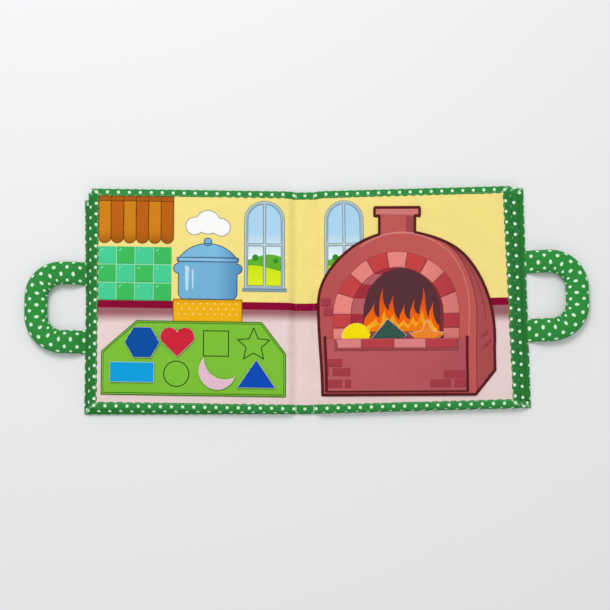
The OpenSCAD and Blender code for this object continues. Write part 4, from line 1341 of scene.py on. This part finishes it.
# Print on the oven panel
def onOven(name, rings, lift, material, nodes=(), topAt=None):
    where = topAt or ovenTop
    bm = cutPatch(rings)
    raisePatch(bm, lambda x, y: where(x, y) + lift, 0.1 * mm)
    return finishPiece(bm, name, [material], "right_half", nodes, lie=ovenLie)


# Thin drawn lines on the oven panel
def ovenLines(name, lines, width, colour, lift):
    bm = bmesh.new()
    for line in lines:
        addRibbon(bm, line, width, 0.05 * mm, lambda x, y: ovenTop(x, y) + lift, across=2)
    return finishPiece(bm, name, [printCotton(name, colour)], "right_half", lie=ovenLie)


# A drawn bend on the oven between its face and its side
def domeBend(drop, wide, tall, a0, a1, count=40):
    turn = [math.radians(a0 + (a1 - a0) * i / count) for i in range(count + 1)]
    return [(domeMid + wide * math.cos(a), domeY - drop + tall * math.sin(a)) for a in turn]


sideX, sideY = domeMid + 73.5 * mm, domeY - 20 * mm
sideFoot = ovenLow.y + 3 * mm
sideRing = (ovenArc(0.98, 0.98, 0, 66) + domeBend(20 * mm, 73.5 * mm, 93 * mm, 64, 0, 20)
            + [(sideX, sideFoot), (ovenHigh.x - 2.5 * ovenLook["cut"] - 0.6 * mm, sideFoot),
               (ovenHigh.x - 2.2 * mm, ovenLow.y + 3 * ovenLook["cut"] + 1 * mm)])
onOven("oven_side_print", [sideRing], 0.08 * mm, printCotton("oven side", "#a84c4f"))
shaftTop, shaftFoot = ovenHigh.y - ovenLook["cap"], domeY + ovenLook["domeTall"] - 1.5 * mm
onOven("chimney_side_print", [rectangle(frontMid + 9.5 * mm, shaftFoot, frontMid + 17.6 * mm, shaftTop)],
       0.12 * mm,
       printCotton("chimney side", "#9d454b"))
onOven("chimney_cap_print", [rectangle(frontMid - 22 * mm, shaftTop + 1.5 * mm, frontMid + 22 * mm,
                                       ovenHigh.y - 2.5 * mm)],
       0.12 * mm, printCotton("chimney cap", "#cf7674"))
onOven("dome_light_print", [ovenArc(0.86, 0.985, 66, 128, 30) + ovenArc(0.86, 0.955, 128, 66, 30)],
       0.1 * mm,
       printCotton("dome light", "#d17c78"))
edgeDown = lineOf((sideX, sideY), (sideX, sideFoot))
innerX = domeMid + 66 * mm
innerDown = lineOf((innerX, domeY - 10 * mm), (innerX, pocketTop + 2 * mm))
ovenLines("oven_side_lines", [domeBend(20 * mm, 73.5 * mm, 93 * mm, 64, 0)[:-1] + edgeDown,
                              domeBend(34 * mm, 83 * mm, 104 * mm, 56, 8, 30)], 0.6 * mm, "#7a2f36",
          0.14 * mm)
ovenLines("oven_face_line", [domeBend(10 * mm, 66 * mm, 79 * mm, 66, 0)[:-1] + innerDown], 0.9 * mm,
          "#cf7f7a",
          0.14 * mm)

archLook = {"bricks": 9, "mouth": 46 * mm, "wide": 16 * mm, "joint": 0.8 * mm, "light": "#e5857e",
            "red": "#c44243",
            "lightReveal": "#b65c64", "redReveal": "#a02c3a", "inside": "#562f37", "hearth": "#8e4249"}
archY = pocketTop + 24 * mm
mouth, archOut = archLook["mouth"], archLook["mouth"] + archLook["wide"]
insideMid, insideHalf, insideTall = frontMid + 4.4 * mm, 38.2 * mm, mouth - 0.8 * mm
archFoot = pocketTop - 8 * mm


def wedge(i, r0, r1):
    step, gap = 180 / archLook["bricks"], archLook["joint"] / 2
    g0, g1 = math.degrees(gap / r0), math.degrees(gap / r1)
    outer = arc(frontMid, archY, r1 - gap, i * step + g1, (i + 1) * step - g1, 8)
    inner = arc(frontMid, archY, r0 + gap, (i + 1) * step - g0, i * step + g0, 8)
    return outer + inner


def insideAt(a):
    a = math.radians(a)
    return (insideMid + insideHalf * math.cos(a), archY + insideTall * math.sin(a))


# The depth of the arch, seen inside its left half
def revealWedge(i):
    a0, a1 = i * 180 / archLook["bricks"], (i + 1) * 180 / archLook["bricks"]
    inner = [insideAt(a1 + (a0 - a1) * k / 6) for k in range(7)]
    return arc(frontMid, archY, mouth - 0.2 * mm, a0, a1, 6) + [(x - 0.1 * mm, y) for x, y in inner]


archBack = [(frontMid - archOut, archFoot), (frontMid + archOut, archFoot)]
archBack += arc(frontMid, archY, archOut, 0, 180, 40)
onOven("arch_joints", [archBack], 0.12 * mm, printCotton("arch joint", "#8c3a3c"))
lightRings = [wedge(i, mouth, archOut) for i in range(0, 9, 2)]
redRings = [wedge(i, mouth, archOut) for i in range(1, 9, 2)]
gap = archLook["joint"] / 2
for s in (-1, 1):
    x0, x1 = sorted((frontMid + s * (mouth + gap), frontMid + s * (archOut - gap)))
    redRings.append(rectangle(x0, archY - 13 * mm, x1, archY - gap))
    lightRings.append(rectangle(x0, archFoot + 1 * mm, x1, archY - 13 * mm - 2 * gap))
rightSide = (frontMid + 20 * mm, frontMid + archOut)
onOven("arch_light_print", lightRings, 0.2 * mm, printCotton("light brick", archLook["light"], fadeBetween(
    0, *rightSide, "#cf6f6c")), ["arch_light_bricks"])
onOven("arch_red_print", redRings, 0.2 * mm, printCotton("red brick", archLook["red"], fadeBetween(
    0, *rightSide, "#a93540")), ["arch_dark_bricks"])
mouthRing = [(frontMid - mouth, archFoot), (frontMid + mouth, archFoot)]
mouthRing += arc(frontMid, archY, mouth, 0, 180, 36)
onOven("mouth_reveal", [mouthRing], 0.2 * mm, printCotton("mouth reveal", "#7c2c38"))
revealLight = [revealWedge(i) for i in (6, 8)]
revealRed = [revealWedge(i) for i in (5, 7)]
jambX0, jambX1 = frontMid - mouth + 0.3 * mm, insideMid - insideHalf
revealRed.append(rectangle(jambX0, archY - 13 * mm, jambX1, archY - gap))
revealLight.append(rectangle(jambX0, archFoot + 1 * mm, jambX1, archY - 13 * mm - 2 * gap))
onOven("reveal_light_print", revealLight, 0.26 * mm, printCotton("light reveal", archLook["lightReveal"]))
onOven("reveal_red_print", revealRed, 0.26 * mm, printCotton("red reveal", archLook["redReveal"]))
insideRing = [insideAt(180 * k / 36) for k in range(37)]
insideRing = [(insideMid - insideHalf, archFoot), (insideMid + insideHalf, archFoot)] + insideRing
onOven("mouth_inside", [insideRing], 0.32 * mm, printCotton("mouth inside", archLook["inside"]),
       ["oven_mouth"])
hearth = rectangle(insideMid - insideHalf, archFoot, insideMid + insideHalf, pocketTop + 7.5 * mm)
onOven("hearth_print", [hearth], 0.36 * mm, printCotton("hearth", archLook["hearth"]))


# Points of one smooth bend, without its last point
def curve(p0, p1, p2, p3, count=8):
    out = []
    for i in range(count):
        t = i / count
        k = 1 - t
        out.append(tuple(k ** 3 * p0[j] + 3 * k * k * t * p1[j] + 3 * k * t * t * p2[j] + t ** 3 * p3[j]
                         for j in (0, 1)))
    return out


flameLook = {"fire": "#ee6406", "tip": "#d9490a", "core": "#f2a01c", "glow": "#f6c326", "foot": 7 * mm,
             "tips": [(-27, 36, 2), (-18, 51, 3), (-8, 43, 2), (3, 34, 1), (13, 39, 2), (22, 50, -3),
                      (32, 36, 2)]}


# One body of fire with several leaning tongues
def flameRing(scale, spread, drop):
    base = pocketTop + flameLook["foot"]
    tips = []
    for x, h, lean in flameLook["tips"]:
        tips.append((insideMid + x * mm * spread, base + (h * mm - flameLook["foot"]) * scale,
                     lean * mm * scale))
    half = insideHalf * spread - 0.6 * mm
    start = (insideMid - half, base + 8 * mm * scale)
    ring = [(insideMid + half, base), (insideMid - half, base)]
    for i, (x, y, lean) in enumerate(tips):
        if i + 1 < len(tips):
            end = ((x + tips[i + 1][0]) / 2 + 0.5 * mm, min(y, tips[i + 1][1]) - drop)
        else:
            end = (insideMid + half, base + 6 * mm * scale)
        ring += curve(start, (start[0], start[1] + 8 * mm * scale),
                      (x - lean - 3 * mm * scale, y - 13 * mm * scale),
                      (x, y))
        ring += curve((x, y), (x - lean, y - 9 * mm * scale), (end[0] - 4 * mm * scale, end[1]), end)
        start = end
    return ring + [start]


fireCloth = printCotton("orange flame", flameLook["fire"], fadeBetween(1, pocketTop + 20 * mm,
                                                                       pocketTop + 44 * mm,
                                                                     flameLook["tip"]))
onOven("flames_print", [flameRing(1.0, 1.0, 15 * mm)], 0.4 * mm, fireCloth, ["outer_flames"])
coreCloth = printCotton("ember yellow", flameLook["core"], fadeBetween(1, pocketTop + 18 * mm,
                                                                       pocketTop + 8 * mm,
                                                                     flameLook["glow"]))
onOven("embers_print", [flameRing(0.5, 0.93, 7 * mm)], 0.46 * mm, coreCloth,
       ["inner_flames"])
innerFire = printCotton("inner orange flame", "#ef7d0c")
onOven("inner_fire_print", [flameRing(0.3, 0.84, 4.4 * mm)], 0.52 * mm, innerFire)
print("oven made")


# Pocket front and the shapes in it

pocketLook = {"cloth": "#b9585e", "shade": "#a84a56", "rise": 3.0 * mm, "edgeRise": 0.75 * mm,
              "thick": 0.7 * mm}
pocketLow, pocketHigh = low("pocket_front"), high("pocket_front")
pocketMid = (pocketLow.x + pocketHigh.x) / 2


# The pocket cloth: sewn down at three sides, and held up by the shapes at its mouth
def pocketFace(x, y):
    side = min(x - pocketLow.x, pocketHigh.x - x)
    down = y - pocketLow.y
    full = smooth(side / (24 * mm)) * smooth(down / (34 * mm))
    rise = pocketLook["edgeRise"] + (pocketLook["rise"] - pocketLook["edgeRise"]) * full
    wave = 0.25 * mm * noise.noise(Vector((x / 0.03, y / 0.035, 4))) * full
    sag = 0.18 * mm * math.sin(x * tau / (27 * mm)) * smooth((y - pocketHigh.y + 14 * mm) / (14 * mm)) * full
    return ovenTop(x, y) + rise + wave + sag


pocketRing = rectangle(pocketLow.x, pocketLow.y, pocketHigh.x, pocketHigh.y)
bm = cutPatch([pocketRing])
raisePatch(bm, pocketFace, pocketLook["thick"], edgeRound=0.2 * mm)
pocketCloth = clothMaterial("rose brick pocket cotton", pocketLook["cloth"], mottle=0.08, crease=0.35,
                            paint=fadeBetween(0, pocketMid - 20 * mm, pocketHigh.x, pocketLook["shade"],
                                              0.5))
pocket = finishPiece(bm, "pocket_cloth", [pocketCloth], "right_half", ["pocket_front"],
                     lie=ovenLie)
bm = bmesh.new()
for s in (-1, 1):
    x = pocketMid + s * (pocketHigh.x - pocketLow.x - 2.2 * mm) / 2
    addRibbon(bm, lineOf((x, pocketHigh.y + 2.5 * mm), (x, pocketLow.y + 1 * mm), 1.5 * mm), 2.6 * mm,
              0.7 * mm,
              lambda x, y: pocketFace(x, min(y, pocketHigh.y)) - 0.1 * mm, across=8)
addRibbon(bm, lineOf((pocketLow.x, pocketLow.y + 1 * mm), (pocketHigh.x, pocketLow.y + 1 * mm), 1.5 * mm),
          1.6 * mm,
          0.4 * mm, lambda x, y: pocketFace(x, y), across=6)
pocketSides = finishPiece(bm, "pocket_side_stitching", [satin], "right_half", lie=ovenLie)

darkBrick = printCotton("dark pocket brick", "#a33b46")
brickLook = {"rows": [(-19.4, -27.2), (-28.4, -36.2), (-39.6, -47.2), (-30.9, -38.5)],
             "bricks": [(0, -69, -54), (1, -69, -66.5), (1, -63.6, -46.3), (2, -69, -54), (2, -51.5, -45.4),
                        (3, 45.9, 66.9), (2, 32.7, 52.8), (2, 56.6, 69)]}
bricks = []
for row, x0, x1 in brickLook["bricks"]:
    y1, y0 = brickLook["rows"][row]
    bricks.append(rectangle(frontMid + x0 * mm, pocketTop + y0 * mm, frontMid + x1 * mm,
                            pocketTop + y1 * mm))
onOven("pocket_dark_bricks", bricks, 0.1 * mm, darkBrick, ["pocket_bricks"],
       pocketFace)
leftX = ovenLow.x + 3.4 * mm
sideBricks = [rectangle(leftX, domeY - 4 * mm, leftX + 9 * mm, domeY + 4 * mm),
              rectangle(leftX + 2.5 * mm, domeY - 13.5 * mm, leftX + 15 * mm, domeY - 5.5 * mm),
              [(sideX + 5 * mm, domeY - 36 * mm), (sideX + 11 * mm, domeY - 31 * mm),
               (sideX + 11 * mm, domeY - 27 * mm), (sideX + 5 * mm, domeY - 32 * mm)],
              [(sideX + 7 * mm, domeY - 46 * mm), (sideX + 15 * mm, domeY - 40 * mm),
               (sideX + 15 * mm, domeY - 36 * mm), (sideX + 7 * mm, domeY - 42 * mm)]]
onOven("side_dark_bricks", sideBricks, 0.14 * mm, darkBrick)
shelfLight, shelfRed = [], []
shelf = [-59.6, -35.8, -3.3, 28.3, 59.6]
for i in range(4):
    y0, y1 = pocketTop - 9 * mm, pocketTop - 0.7 * mm
    lean = [1.4 * mm if i == 0 else 0, 1.4 * mm if i == 3 else 0]
    x0, x1 = frontMid + shelf[i] * mm + gap, frontMid + shelf[i + 1] * mm - gap
    shelfTone = shelfLight if i % 2 == 0 else shelfRed
    shelfTone.append([(x0 + lean[0], y0), (x1 - lean[1], y0), (x1, y1), (x0, y1)])
shelfBack = rectangle(frontMid - 61 * mm, pocketTop - 12 * mm, frontMid + 61 * mm, pocketTop - 0.6 * mm)
onOven("pocket_shelf_shade", [shelfBack], 0.06 * mm, printCotton("shelf shade", "#9c454d"),
       (), pocketFace)
onOven("pocket_shelf_light", shelfLight, 0.12 * mm, printCotton("shelf light brick", "#d98180"),
       (), pocketFace)
onOven("pocket_shelf_red", shelfRed, 0.12 * mm, printCotton("shelf red brick", "#b63e44"),
       (), pocketFace)


def inPocket(x, y):
    return ovenTop(x, y) + 0.15 * mm - feltLook["patch"]


c = centreOf("circle")
feltShape("circle", circleRing(c.x, c.y, size("circle").x / 2, 48), "#f2de04", inPocket,
          ovenLie)
c = centreOf("square")
squareTurn = math.radians(40)
half = size("square").x / 2 / (math.cos(squareTurn) + math.sin(squareTurn))
squareRing = []
for sx, sy in ((-1, -1), (1, -1), (1, 1), (-1, 1)):
    a, x, y = -squareTurn, sx * half, sy * half
    squareRing.append((c.x + math.cos(a) * x - math.sin(a) * y, c.y + math.sin(a) * x + math.cos(a) * y))
feltShape("square", squareRing, "#35554a", inPocket, ovenLie)
starHigh = high("star")
starR = size("star").x / 2 / math.cos(math.radians(18))
feltShape("star", starRing((low("star").x + starHigh.x) / 2, starHigh.y - starR, starR, inner=0.5),
          "#ee8526",
          inPocket, ovenLie)
print("pocket and its shapes made")
